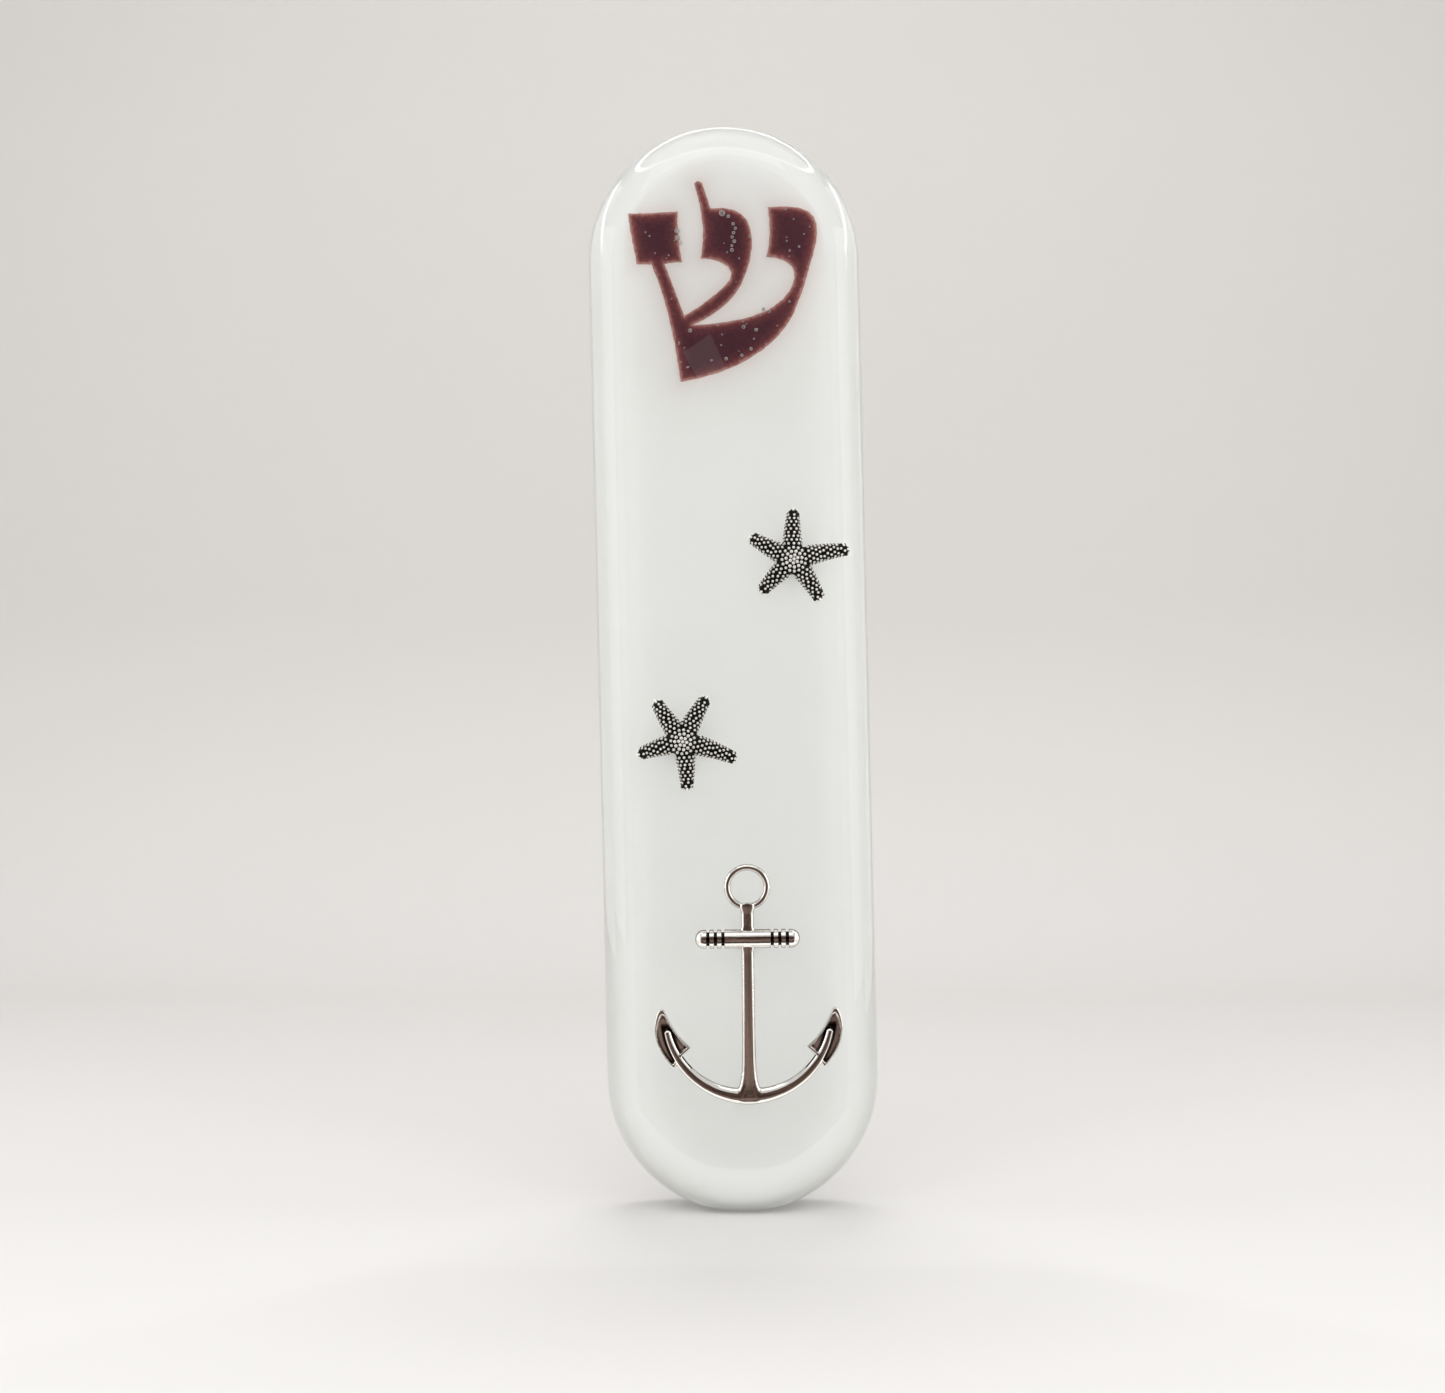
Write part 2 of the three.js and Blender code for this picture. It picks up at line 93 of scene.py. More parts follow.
class Paint:
    """A procedural material being put together: nodes on one side, the Principled shader on the other."""

    def __init__(self, name, **values):
        self.material = bpy.data.materials.new(name)
        self.material.use_nodes = True
        self.tree = self.material.node_tree
        self.shader = self.tree.nodes["Principled BSDF"]
        for socket, value in values.items():
            self.shader.inputs[socket.replace("_", " ")].default_value = value

    def feed(self, socket, value):
        """Sets an input, or links it where the value comes out of another node."""
        if isinstance(value, bpy.types.NodeSocket):
            self.tree.links.new(value, socket)
        else:
            socket.default_value = value

    def node(self, kind, settings=None, **inputs):
        made = self.tree.nodes.new(kind)
        for key, value in (settings or {}).items():
            setattr(made, key, value)
        for key, value in inputs.items():
            self.feed(made.inputs[key.replace("_", " ")], value)
        return made

    def place(self, scale=(1, 1, 1)):
        """Position on the piece in millimetres, stretched by scale."""
        where = self.node("ShaderNodeTexCoord").outputs["Object"]
        mapped = self.node("ShaderNodeMapping", Vector=where)
        mapped.inputs["Scale"].default_value = [s / MM for s in scale]
        return mapped.outputs["Vector"]

    def noise(self, size, detail=3.0, roughness=0.5, stretch=(1, 1, 1)):
        """Noise whose features are about size millimetres across."""
        inputs = {"Vector": self.place(stretch), "Scale": 1 / size, "Detail": detail, "Roughness": roughness}
        return self.node("ShaderNodeTexNoise", **inputs).outputs["Fac"]

    def attribute(self, name):
        made = self.node("ShaderNodeAttribute")
        made.attribute_name = name
        return made.outputs["Fac"]

    def math(self, operation, a, b):
        made = self.node("ShaderNodeMath", {"operation": operation})
        self.feed(made.inputs[0], a)
        self.feed(made.inputs[1], b)
        return made.outputs[0]

    def ramp(self, factor, *stops):
        """Colours at places from 0 to 1: (place, (r, g, b)) each."""
        made = self.node("ShaderNodeValToRGB", Fac=factor)
        elements = made.color_ramp.elements
        while len(elements) < len(stops):
            elements.new(0.5)
        for element, (place, colour) in zip(elements, stops):
            element.position = place
            element.color = (*colour, 1)
        return made.outputs["Color"]

    def mix(self, factor, a, b):
        made = self.node("ShaderNodeMix", {"data_type": "RGBA"})
        self.feed(made.inputs[0], factor)
        for socket, colour in zip((s for s in made.inputs if s.type == "RGBA"), (a, b)):
            self.feed(socket, (*colour, 1) if isinstance(colour, tuple) else colour)
        return next(s for s in made.outputs if s.type == "RGBA")

    def range(self, value, low, high):
        """A factor from 0 to 1 spread out to low to high."""
        made = self.node("ShaderNodeMapRange", Value=value, To_Min=low, To_Max=high)
        return made.outputs[0]

    def set(self, socket, value):
        self.tree.links.new(value, self.shader.inputs[socket])

    def bump(self, height, relief, strength=1.0):
        """Relief is the height of the bumps in millimetres."""
        made = self.node("ShaderNodeBump", Height=height, Distance=relief * MM, Strength=strength)
        self.set("Normal", made.outputs["Normal"])


def clear_glass():
    tint = (0.992, 1.0, 0.995, 1)
    paint = Paint("clear_glass", Base_Color=tint, Roughness=0.0, IOR=1.5, Transmission_Weight=1.0)
    paint.bump(paint.noise(16, detail=1.0), 0.03)
    return paint.material


def white_glass():
    paint = Paint("white_glass", IOR=1.5, Specular_IOR_Level=0.15)
    clouds = paint.noise(9, detail=4.0)
    base = paint.ramp(clouds, (0.3, (0.945, 0.95, 0.93)), (0.7, (0.96, 0.965, 0.945)))
    # Painted shade: the white glass is darker round the letter, where the inlay keeps light from it.
    shaded = paint.mix(paint.attribute("letter_painted_shade"), base, (0.86, 0.80, 0.77))
    paint.set("Base Color", shaded)
    paint.set("Roughness", paint.range(paint.noise(1.2), 0.25, 0.4))
    paint.bump(paint.noise(0.6), 0.004)
    return paint.material


def copper_letter():
    # The inlay and the white glass are fused to the clear glass, so they have little sheen of their own.
    paint = Paint("copper_letter", IOR=1.5, Specular_IOR_Level=0.0)
    edge = paint.attribute("edge")
    mottled = paint.math("ADD", edge, paint.range(paint.noise(0.5, detail=6.0, roughness=0.7), -0.35, 0.35))
    colour = paint.ramp(
        mottled,
        (0.1, (0.082, 0.031, 0.041)),
        (0.42, (0.138, 0.046, 0.053)),
        (0.66, (0.25, 0.083, 0.078)),
        (0.92, (0.5, 0.27, 0.24)),
    )
    paint.set("Base Color", colour)
    paint.set("Roughness", paint.range(paint.noise(0.5), 0.3, 0.6))
    paint.bump(paint.noise(0.45, detail=4.0), 0.02)
    return paint.material


def bubble_skin():
    """A gas bubble in glass: clear at its middle, and white round its edge, a painted reflection of the
    light that it turns back.
    """
    paint = Paint("bubble_skin", Roughness=0.15, IOR=1.05)
    facing = paint.node("ShaderNodeLayerWeight", Blend=0.4).outputs["Facing"]
    edge = paint.math("POWER", facing, 1.3)
    # Painted reflection: white round the bubble's edge.
    paint.set("Base Color", paint.ramp(edge, (0.2, (0.75, 0.72, 0.7)), (0.7, (0.98, 0.97, 0.95))))
    paint.set("Transmission Weight", paint.range(edge, 0.75, 0.0))
    return paint.material


def polished_silver():
    paint = Paint("polished_silver", Metallic=1.0)
    # The attribute read here holds patina in the hollows, and painted shade on the sides and in the palms
    # beside the arm.
    patina_and_shade = paint.attribute("patina_and_shade")
    tarnish_and_shade = paint.math("ADD", patina_and_shade, paint.range(paint.noise(1.5, detail=4.0), -0.18, 0.12))
    colour = paint.ramp(
        tarnish_and_shade,
        (0.0, (0.95, 0.92, 0.88)),
        (0.3, (0.76, 0.69, 0.64)),
        (0.6, (0.16, 0.13, 0.12)),
        (0.9, (0.02, 0.018, 0.017)),
    )
    paint.set("Base Color", colour)
    paint.set("Roughness", paint.range(paint.noise(0.8), 0.06, 0.16))
    paint.bump(paint.noise(0.7), 0.012)
    return paint.material


def blackened_silver():
    paint = Paint("blackened_silver", Metallic=0.8)
    polish = paint.attribute("polish")
    worn = paint.math("ADD", polish, paint.range(paint.noise(0.5), -0.12, 0.12))
    colour = paint.ramp(
        worn,
        (0.0, (0.008, 0.007, 0.006)),
        (0.45, (0.025, 0.021, 0.018)),
        (0.78, (0.76, 0.71, 0.64)),
        (1.0, (0.98, 0.96, 0.92)),
    )
    paint.set("Base Color", colour)
    paint.set("Roughness", paint.range(polish, 0.6, 0.35))
    return paint.material


def cured_glue():
    tint = (0.95, 0.95, 0.92, 1)
    paint = Paint("cured_glue", Base_Color=tint, Roughness=0.08, IOR=1.5, Transmission_Weight=0.9)
    paint.bump(paint.noise(0.8), 0.03)
    return paint.material


def foam(name, dark, light, cell):
    paint = Paint(name, Roughness=0.95)
    cells = paint.node("ShaderNodeTexVoronoi", Vector=paint.place(), Scale=1 / cell).outputs["Distance"]
    paint.set("Base Color", paint.ramp(cells, (0.1, dark), (0.6, light)))
    paint.bump(cells, 0.06)
    return paint.material


def liner_paper():
    paint = Paint("liner_paper", Roughness=0.35, Coat_Weight=0.3)
    fibres = paint.noise(1.5, detail=5.0, stretch=(1, 1, 0.25))
    paint.set("Base Color", paint.ramp(fibres, (0.3, (0.79, 0.78, 0.74)), (0.7, (0.86, 0.85, 0.82))))
    paint.bump(fibres, 0.006)
    return paint.material


def brushed_sheet():
    paint = Paint("brushed_sheet", Metallic=1.0, Anisotropic=0.55)
    strokes = paint.noise(0.12, detail=6.0, roughness=0.65, stretch=(1, 1, 0.012))
    paint.set("Base Color", paint.ramp(strokes, (0.3, (0.52, 0.53, 0.54)), (0.7, (0.72, 0.73, 0.74))))
    paint.set("Roughness", paint.range(strokes, 0.28, 0.46))
    paint.bump(strokes, 0.006)
    return paint.material


def parchment():
    paint = Paint("parchment", Roughness=0.75)
    blotches = paint.noise(7, detail=6.0)
    grain = paint.noise(0.35, detail=4.0)
    aged = paint.ramp(blotches, (0.3, (0.63, 0.5, 0.3)), (0.7, (0.8, 0.7, 0.5)))
    paint.set("Base Color", paint.mix(paint.math("MULTIPLY", grain, 0.3), aged, (0.55, 0.42, 0.24)))
    paint.bump(grain, 0.03)
    return paint.material


def clear_film():
    tint = (0.97, 0.98, 0.99, 1)
    paint = Paint("clear_film", Base_Color=tint, Roughness=0.04, IOR=1.45, Transmission_Weight=1.0)
    paint.bump(paint.noise(5, detail=2.0, stretch=(1, 1, 0.3)), 0.02)
    return paint.material


MATERIALS = {
    "clear_glass": clear_glass(),
    "white_glass": white_glass(),
    "copper_inlay": copper_letter(),
    "polished_silver": polished_silver(),
    "blackened_silver": blackened_silver(),
    "clear_glue": cured_glue(),
    "mounting_foam": foam("mounting_foam", (0.6, 0.59, 0.55), (0.8, 0.79, 0.75), 0.25),
    "pad_foam": foam("pad_foam", (0.02, 0.02, 0.022), (0.09, 0.09, 0.095), 0.3),
    "liner": liner_paper(),
    "brushed_sheet": brushed_sheet(),
    "parchment": parchment(),
    "clear_film": clear_film(),
    "bubble": bubble_skin(),
}


# ---- making pieces


def new_object(name, data):
    made = bpy.data.objects.new(name, data)
    bpy.context.scene.collection.objects.link(made)
    return made


def raw_object(name, points, faces, has_empty_faces=False):
    """A bare mesh object in millimetres, closed and with its faces pointing out."""
    mesh = bpy.data.meshes.new(name)
    mesh.from_pydata([tuple(p) for p in points], [], faces)
    work = bmesh.new()
    work.from_mesh(mesh)
    bmesh.ops.remove_doubles(work, verts=work.verts, dist=1e-5)
    if has_empty_faces:
        bmesh.ops.dissolve_degenerate(work, dist=1e-5, edges=work.edges)
    bmesh.ops.recalc_face_normals(work, faces=work.faces)
    work.to_mesh(mesh)
    work.free()
    return new_object(name, mesh)


def with_modifiers(made, *modifiers):
    """Puts modifiers on a raw object and bakes them into its mesh. Each is (kind, settings)."""
    for kind, settings in modifiers:
        modifier = made.modifiers.new(kind.lower(), kind)
        for key, value in settings.items():
            setattr(modifier, key, value)
    graph = bpy.context.evaluated_depsgraph_get()
    final = bpy.data.meshes.new_from_object(made.evaluated_get(graph))
    made.modifiers.clear()
    old = made.data
    made.data = final
    bpy.data.meshes.remove(old)
    return made


def join(first, *others):
    """Several raw objects as one, each still a closed piece of its own."""
    work = bmesh.new()
    for piece in (first, *others):
        work.from_mesh(piece.data)
    work.to_mesh(first.data)
    work.free()
    for piece in others:
        bpy.data.objects.remove(piece)
    return first


def of_vertices(made, what):
    """The vertices' places ("co") or normals, one row each."""
    flat = np.empty(len(made.data.vertices) * 3)
    made.data.vertices.foreach_get(what, flat)
    return flat.reshape(-1, 3)


def points_of(made):
    return of_vertices(made, "co")


def put_attribute(made, name, values):
    attribute = made.data.attributes.new(name, "FLOAT", "POINT")
    attribute.data.foreach_set("value", np.asarray(values, np.float32))


def finish_piece(made, material, body, slot, *nodes):
    """Scales a raw object to metres, gives it its material and body, and hides the CAD nodes it stands for.
    Its slot is not used.
    """
    made.data.transform(Matrix.Scale(MM, 4))
    made.data.shade_smooth()
    made.data.set_sharp_from_angle(angle=math.radians(40))
    made.data.materials.clear()
    made.data.materials.append(MATERIALS[material])
    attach(made, body)
    if nodes:
        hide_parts(*nodes)
    return made


def rounded_path(corners, steps=8):
    """A line through corners (across, depth, radius), turned round each corner by its radius."""
    path = []
    for i, (across, depth, radius) in enumerate(corners):
        here = Vector((across, depth))
        if radius == 0 or i in (0, len(corners) - 1):
            path.append(here)
            continue
        back = (Vector(corners[i - 1][:2]) - here).normalized()
        on = (Vector(corners[i + 1][:2]) - here).normalized()
        half = back.angle(on) / 2
        centre = here + (back + on).normalized() * (radius / math.sin(half))
        start = here + back * (radius / math.tan(half)) - centre
        end = here + on * (radius / math.tan(half)) - centre
        turn = math.atan2(start.cross(end), start.dot(end))
        for k in range(steps + 1):
            path.append(centre + Matrix.Rotation(turn * k / steps, 2) @ start)
    return path


def divided(path, longest):
    """The same line with no step longer than that."""
    fine = [path[0]]
    for a, b in zip(path, path[1:]):
        parts = max(1, math.ceil((b - a).length / longest))
        fine += [a.lerp(b, k / parts) for k in range(1, parts + 1)]
    return fine


def on_circle(radius, angle, centre=0.0):
    """A point (x, z) on a circle, whose centre is that far up the z axis."""
    return radius * math.cos(angle), centre + radius * math.sin(angle)


def stadium(half_width, straight_steps, end_steps):
    """The case's outline at a half width, counter-clockwise as points (x, z)."""
    points = []
    for sign in (1, -1):
        start = 0 if sign > 0 else math.pi
        for k in range(end_steps + 1):
            angle = start + math.pi * k / end_steps
            points.append(on_circle(half_width, angle, sign * HALF_STRAIGHT))
        for k in range(1, straight_steps):
            points.append((-sign * half_width, sign * HALF_STRAIGHT * (1 - 2 * k / straight_steps)))
    return points


def stadium_sweep(name, path, straight_steps=40, end_steps=48):
    """A closed piece whose section (across, depth) is carried round the case's outline."""
    rings = [stadium(max(p.x, 0), straight_steps, end_steps) for p in path]
    points = [(x, -p.y, z) for p, ring in zip(path, rings) for x, z in ring]
    size = len(rings[0])
    faces = []
    for i in range(len(rings) - 1):
        for j in range(size):
            k = (j + 1) % size
            faces.append((i * size + j, i * size + k, (i + 1) * size + k, (i + 1) * size + j))
    # Where a ring closes up to a line, its faces have no area.
    return raw_object(name, points, faces, has_empty_faces=True)


def tube(name, stations, close=False):
    """A closed skin over rings of points. close joins the last ring to the first, as on a ring."""
    size = len(stations[0])
    points = [p for ring in stations for p in ring]
    faces = []
    count = len(stations)
    for i in range(count if close else count - 1):
        a, b = i * size, (i + 1) % count * size
        for j in range(size):
            k = (j + 1) % size
            faces.append((a + j, a + k, b + k, b + j))
    if not close:
        faces.append(tuple(range(size)))
        faces.append(tuple(range((count - 1) * size, count * size)))
    return raw_object(name, points, faces)


def oval(across, deep, steps, power=2.0):
    """Points (across, deep) round an oval. A power over 2 squares it off towards a rectangle."""
    points = []
    for k in range(steps):
        c, s = on_circle(1, 2 * math.pi * k / steps)
        wide = across * math.copysign(abs(c) ** (2 / power), c)
        points.append((wide, deep * math.copysign(abs(s) ** (2 / power), s)))
    return points


# ---- the copper letter


def letter_outline():
    """The letter's outline as points (x, z), taken from the front face of its CAD solid."""
    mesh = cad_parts["copper_letter"].data
    front = min(v.co.y for v in mesh.vertices)
    place = [(round(v.co.x / MM, 3), round(v.co.z / MM, 3)) for v in mesh.vertices]
    uses = {}
    for face in mesh.polygons:
        if all(abs(mesh.vertices[i].co.y - front) < 1e-6 for i in face.vertices):
            for a, b in face.edge_keys:
                edge = frozenset((place[a], place[b]))
                uses[edge] = uses.get(edge, 0) + 1
    neighbours = {}
    for edge, count in uses.items():
        if count == 1:
            for point in edge:
                neighbours.setdefault(point, set()).update(edge - {point})
    loop = [min(neighbours)]
    while True:
        onward = [p for p in sorted(neighbours[loop[-1]]) if p not in loop]
        if not onward:
            return np.array(loop)
        loop.append(onward[0])


def distance_to_outline(points, outline):
    """How far each point (x, z) is from the outline, and whether it is inside it."""
    a = outline
    b = np.roll(outline, -1, axis=0)
    along = b - a
    offset = points[:, None, :] - a[None]
    t = np.clip((offset * along).sum(2) / (along**2).sum(1), 0, 1)
    distance = np.linalg.norm(offset - t[..., None] * along, axis=2).min(1)
    crosses = (a[None, :, 1] > points[:, None, 1]) != (b[None, :, 1] > points[:, None, 1])
    with np.errstate(divide="ignore", invalid="ignore"):
        at = a[:, 0] + (points[:, None, 1] - a[:, 1]) * along[:, 0] / along[:, 1]
    inside = (crosses & (points[:, None, 0] < at)).sum(1) % 2 == 1
    return distance, inside


# Depths of the inlay's back, the rim of its front and the middle of its front.
LETTER_BACK = 14.54
LETTER_EDGE = 14.64
LETTER_FRONT = 14.9
LETTER_ROUNDING = 0.35
letter = letter_outline()


def make_letter():
    """A thin domed inlay. Its rim is rounded, and it carries how near each point is to the rim."""
    draw = random.Random(5)
    uneven = 0.04
    outline = divided([Vector(p) for p in (*letter, letter[0])], 0.35)[:-1]
    outline = [p + Vector((draw.uniform(-uneven, uneven), draw.uniform(-uneven, uneven))) for p in outline]
    low, high = letter.min(0), letter.max(0)
    spacing = 0.3
    grid = np.stack(
        np.meshgrid(np.arange(low[0], high[0], spacing), np.arange(low[1], high[1], spacing)), -1
    ).reshape(-1, 2)
    distance, inside = distance_to_outline(grid, letter)
    inner = [Vector(p) for p in grid[inside & (distance > 0.15)]]
    edges = [(i, (i + 1) % len(outline)) for i in range(len(outline))]
    flat, _, faces = geometry.delaunay_2d_cdt(outline + inner, edges, [], 1, 1e-6)[:3]
    flat = np.array([tuple(p) for p in flat])
    distance, _ = distance_to_outline(flat, letter)
    rise = np.sqrt(np.clip(1 - (1 - np.clip(distance / LETTER_ROUNDING, 0, 1)) ** 2, 0, 1))
    front = LETTER_EDGE + (LETTER_FRONT - LETTER_EDGE) * rise
    count = len(flat)
    points = [(x, -d, z) for (x, z), d in zip(flat, front)]
    points += [(x, -LETTER_BACK, z) for x, z in flat]
    skin = [tuple(f) for f in faces] + [tuple(i + count for i in reversed(f)) for f in faces]
    uses = {}
    for f in faces:
        for a, b in zip(f, (*f[1:], f[0])):
            uses.setdefault(frozenset((a, b)), []).append((a, b))
    for found in uses.values():
        if len(found) == 1:
            a, b = found[0]
            skin.append((b, a, a + count, b + count))
    made = raw_object("copper_letter_inlay", points, skin)
    xz = points_of(made)[:, [0, 2]]
    distance, _ = distance_to_outline(xz, letter)
    put_attribute(made, "edge", np.exp(-distance / 0.8))
    return finish_piece(made, "copper_inlay", "case", "copper_inlay", "copper_letter")


# ---- the two layers of glass


def bubbles():
    """Seed bubbles caught in the clear glass round the letter: (x, depth, z, radius)."""
    chosen = [
        (-5.85, 15.25, 55.8, 0.34),
        (-5.8, 15.25, 54.9, 0.36),
        (-5.45, 15.2, 54.2, 0.24),
        (-0.1, 15.25, 57.9, 0.4),
        (0.7, 15.2, 57.5, 0.22),
        (-4.5, 15.2, 43.1, 0.26),
        (2.3, 15.2, 43.4, 0.24),
        (4.9, 15.2, 45.6, 0.26),
        (5.6, 15.2, 45.3, 0.2),
        (0.0, 15.2, 39.4, 0.22),
        (2.0, 15.2, 39.8, 0.2),
        (3.2, 15.2, 40.6, 0.2),
        (3.9, 15.2, 43.0, 0.22),
    ]
    draw = random.Random(11)
    chain = []
    for k in range(7):
        x = 1.3 + draw.uniform(-0.3, 0.3)
        chain.append((x, 15.2, 56.5 - 0.55 * k, draw.uniform(0.14, 0.26)))
    low, high = letter.min(0), letter.max(0)
    scattered = []
    while len(scattered) < 46:
        x, z = draw.uniform(low[0], high[0]), draw.uniform(low[1], high[1])
        depth, radius = draw.uniform(15.1, 15.5), draw.uniform(0.07, 0.14)
        _, inside = distance_to_outline(np.array([[x, z]]), letter)
        if inside[0]:
            scattered.append((x, depth, z, radius))
    return chosen + chain + scattered


def ball(x, y, z, radius, detail=2):
    """Points and faces of a small sphere."""
    work = bmesh.new()
    bmesh.ops.create_icosphere(work, subdivisions=detail, radius=radius)
    points = [v.co + Vector((x, y, z)) for v in work.verts]
    faces = [tuple(v.index for v in f.verts) for f in work.faces]
    work.free()
    return points, faces


def gather(parts):
    """Several (points, faces) as one."""
    points, faces = [], []
    for more_points, more_faces in parts:
        start = len(points)
        points += list(more_points)
        faces += [tuple(i + start for i in f) for f in more_faces]
    return points, faces


def make_casing():
    inner = TRAY_HALF_WIDTH - FUSED_OVERLAP / 2
    inner_front = TRAY_FRONT_DEPTH + FUSED_OVERLAP
    path = rounded_path(
        [
            (0, FRONT_DEPTH, 0),
            (HALF_WIDTH, FRONT_DEPTH, EDGE_RADIUS),
            (HALF_WIDTH, RIM_DEPTH, 0.6),
            (inner, RIM_DEPTH, 0),
            (inner, inner_front, TRAY_EDGE_RADIUS),
            (0, inner_front, 0),
        ],
        steps=20,
    )
    made = stadium_sweep("clear_glass_layer", divided(path, 2.5))
    return finish_piece(made, "clear_glass", "case", "clear_glass", "clear_glass_casing")


def make_bubbles():
    points, faces = gather([ball(x, -depth, z, radius) for x, depth, z, radius in bubbles()])
    return finish_piece(raw_object("seed_bubbles", points, faces), "bubble", "case", "clear_glass")


def make_tray():
    outer = TRAY_HALF_WIDTH + FUSED_OVERLAP / 2
    front = TRAY_FRONT_DEPTH + 2 * FUSED_OVERLAP
    path = rounded_path(
        [
            (0, front, 0),
            (outer, front, TRAY_EDGE_RADIUS),
            (outer, RIM_DEPTH + 0.03, 0.1),
            (REBATE_HALF_WIDTH, RIM_DEPTH + 0.03, 0.25),
            (REBATE_HALF_WIDTH, LEDGE_DEPTH, 0.15),
            (CHAMBER_HALF_WIDTH, LEDGE_DEPTH, 0.25),
            (CHAMBER_HALF_WIDTH, CHAMBER_FLOOR_DEPTH, 1.0),
            (0, CHAMBER_FLOOR_DEPTH, 0),
        ]
    )
    made = stadium_sweep("white_glass_layer", divided(path, 0.8), straight_steps=130)
    points = points_of(made)
    # Painted shade on the white glass round the letter: 1 under the letter, fading with distance outside it.
    near = (points[:, 1] < -TRAY_FRONT_DEPTH) & (points[:, 2] > letter[:, 1].min() - 8)
    shade = np.zeros(len(points))
    distance, inside = distance_to_outline(points[near][:, [0, 2]], letter)
    shade[near] = np.where(inside, 1, np.exp(-distance / 1.3))
    put_attribute(made, "letter_painted_shade", shade)
    return finish_piece(made, "white_glass", "case", "white_glass", "white_glass_tray")


# ---- starfish charms

# Each arm's direction in degrees, its length, and how far its middle bows sideways.
STARFISH_ARMS = [(0, 7.2, 0.2), (80, 6.5, 0.15), (142, 6.3, 0.1), (214.5, 6.0, -0.15), (293, 6.2, 0.15)]
STARFISH_PLACES = {"starfish_upper": (7.95, 13.6, 9.1), "starfish_lower": (-6.6, -9.1, -19.4)}
ARM_ROOT_HALF_WIDTH = 1.4
ARM_TIP_HALF_WIDTH = 0.58
ARM_ROOT_HEIGHT = 1.35
ARM_TIP_HEIGHT = 0.75
DISC_RADIUS = 1.75
DISC_HEIGHT = 1.6
BEAD_PITCH = 0.5
BEAD_SPREAD = 68  # degrees from an arm's crest to its outermost row of beads
SPINE_SPREAD = 86
SPINE_RADIUS = 0.16
TIP_BEAD_RADIUS = 0.18


class Arm:
    """One arm of the casting, as places along it (0 at the middle of the disc, 1 at the tip)."""

    def __init__(self, degrees, length, bow):
        angle = math.radians(degrees)
        self.along = Vector(on_circle(1, angle))
        self.across = Vector((-math.sin(angle), math.cos(angle)))
        self.length = length
        self.bow = bow

    def half_width(self, t):
        return ARM_ROOT_HALF_WIDTH + (ARM_TIP_HALF_WIDTH - ARM_ROOT_HALF_WIDTH) * t

    def height(self, t):
        return ARM_ROOT_HEIGHT + (ARM_TIP_HEIGHT - ARM_ROOT_HEIGHT) * t

    def surface(self, t, degrees, shrink=1.0):
        """A point on the arm's half-round skin, at 0 degrees on its crest and +-90 at its sides."""
        angle = math.radians(degrees)
        sideways = self.bow * 4 * t * (1 - t)
        sideways += self.half_width(t) * shrink * math.sin(angle)
        flat = self.along * (self.length * t) + self.across * sideways
        height = self.height(t) * shrink * math.cos(angle)
        return Vector((flat.x, -(CHARM_BACK_DEPTH + height), flat.y))


def arm_skin(arm):
    """The arm's plain skin, closed over its tip."""
    stations = []
    last = 1 - ARM_TIP_HALF_WIDTH / arm.length
    places = [last * k / 10 for k in range(11)]
    shrinks = [1.0] * 11
    for k in range(1, 6):
        turn = math.pi / 2 * k / 6
        places.append(last + (1 - last) * math.sin(turn))
        shrinks.append(math.cos(turn))
    for t, shrink in zip(places, shrinks):
        stations.append([arm.surface(t, degrees, shrink) for degrees in range(-90, 91, 15)])
    return tube("arm", stations)


def arm_beads(arm):
    """Rows of beads over the arm, and a fringe of spines down both its sides: (place, radius) each."""
    beads = []
    distance = DISC_RADIUS + 0.25
    row = 0
    while distance < arm.length - 0.5:
        t = distance / arm.length
        width = arm.half_width(t)
        across = 5 if width > 1.0 else 4 if width > 0.72 else 3
        shift = 0.2 if row % 2 else -0.2
        for k in range(across):
            degrees = BEAD_SPREAD * (2 * (k + shift) / (across - 1) - 1)
            beads.append((arm.surface(t, degrees), 0.192 - 0.03 * t))
        for side in (-1, 1):
            beads.append((arm.surface(t + 0.02, side * SPINE_SPREAD), SPINE_RADIUS))
        distance += BEAD_PITCH - 0.08 * t
        row += 1
    # Four more close the rounded tip.
    for t, degrees, shrink in ((0.965, -62, 0.75), (0.965, 0, 0.8), (0.965, 62, 0.75), (0.99, 0, 0.4)):
        beads.append((arm.surface(t, degrees, shrink), TIP_BEAD_RADIUS))
    return beads


def disc_beads():
    """Rings of beads over the domed middle, worn and crowded."""
    beads = []
    for count, radius, turn in ((1, 0.0, 0), (6, 0.5, 10), (11, 1.0, 0), (16, 1.5, 14)):
        for k in range(count):
            x, z = on_circle(radius, math.radians(turn + 360 * k / count))
            height = DISC_HEIGHT * math.sqrt(1 - (radius / (DISC_RADIUS + 0.35)) ** 2)
            beads.append(((x, -(CHARM_BACK_DEPTH + height), z), 0.225 if radius < 1.2 else 0.205))
    return beads


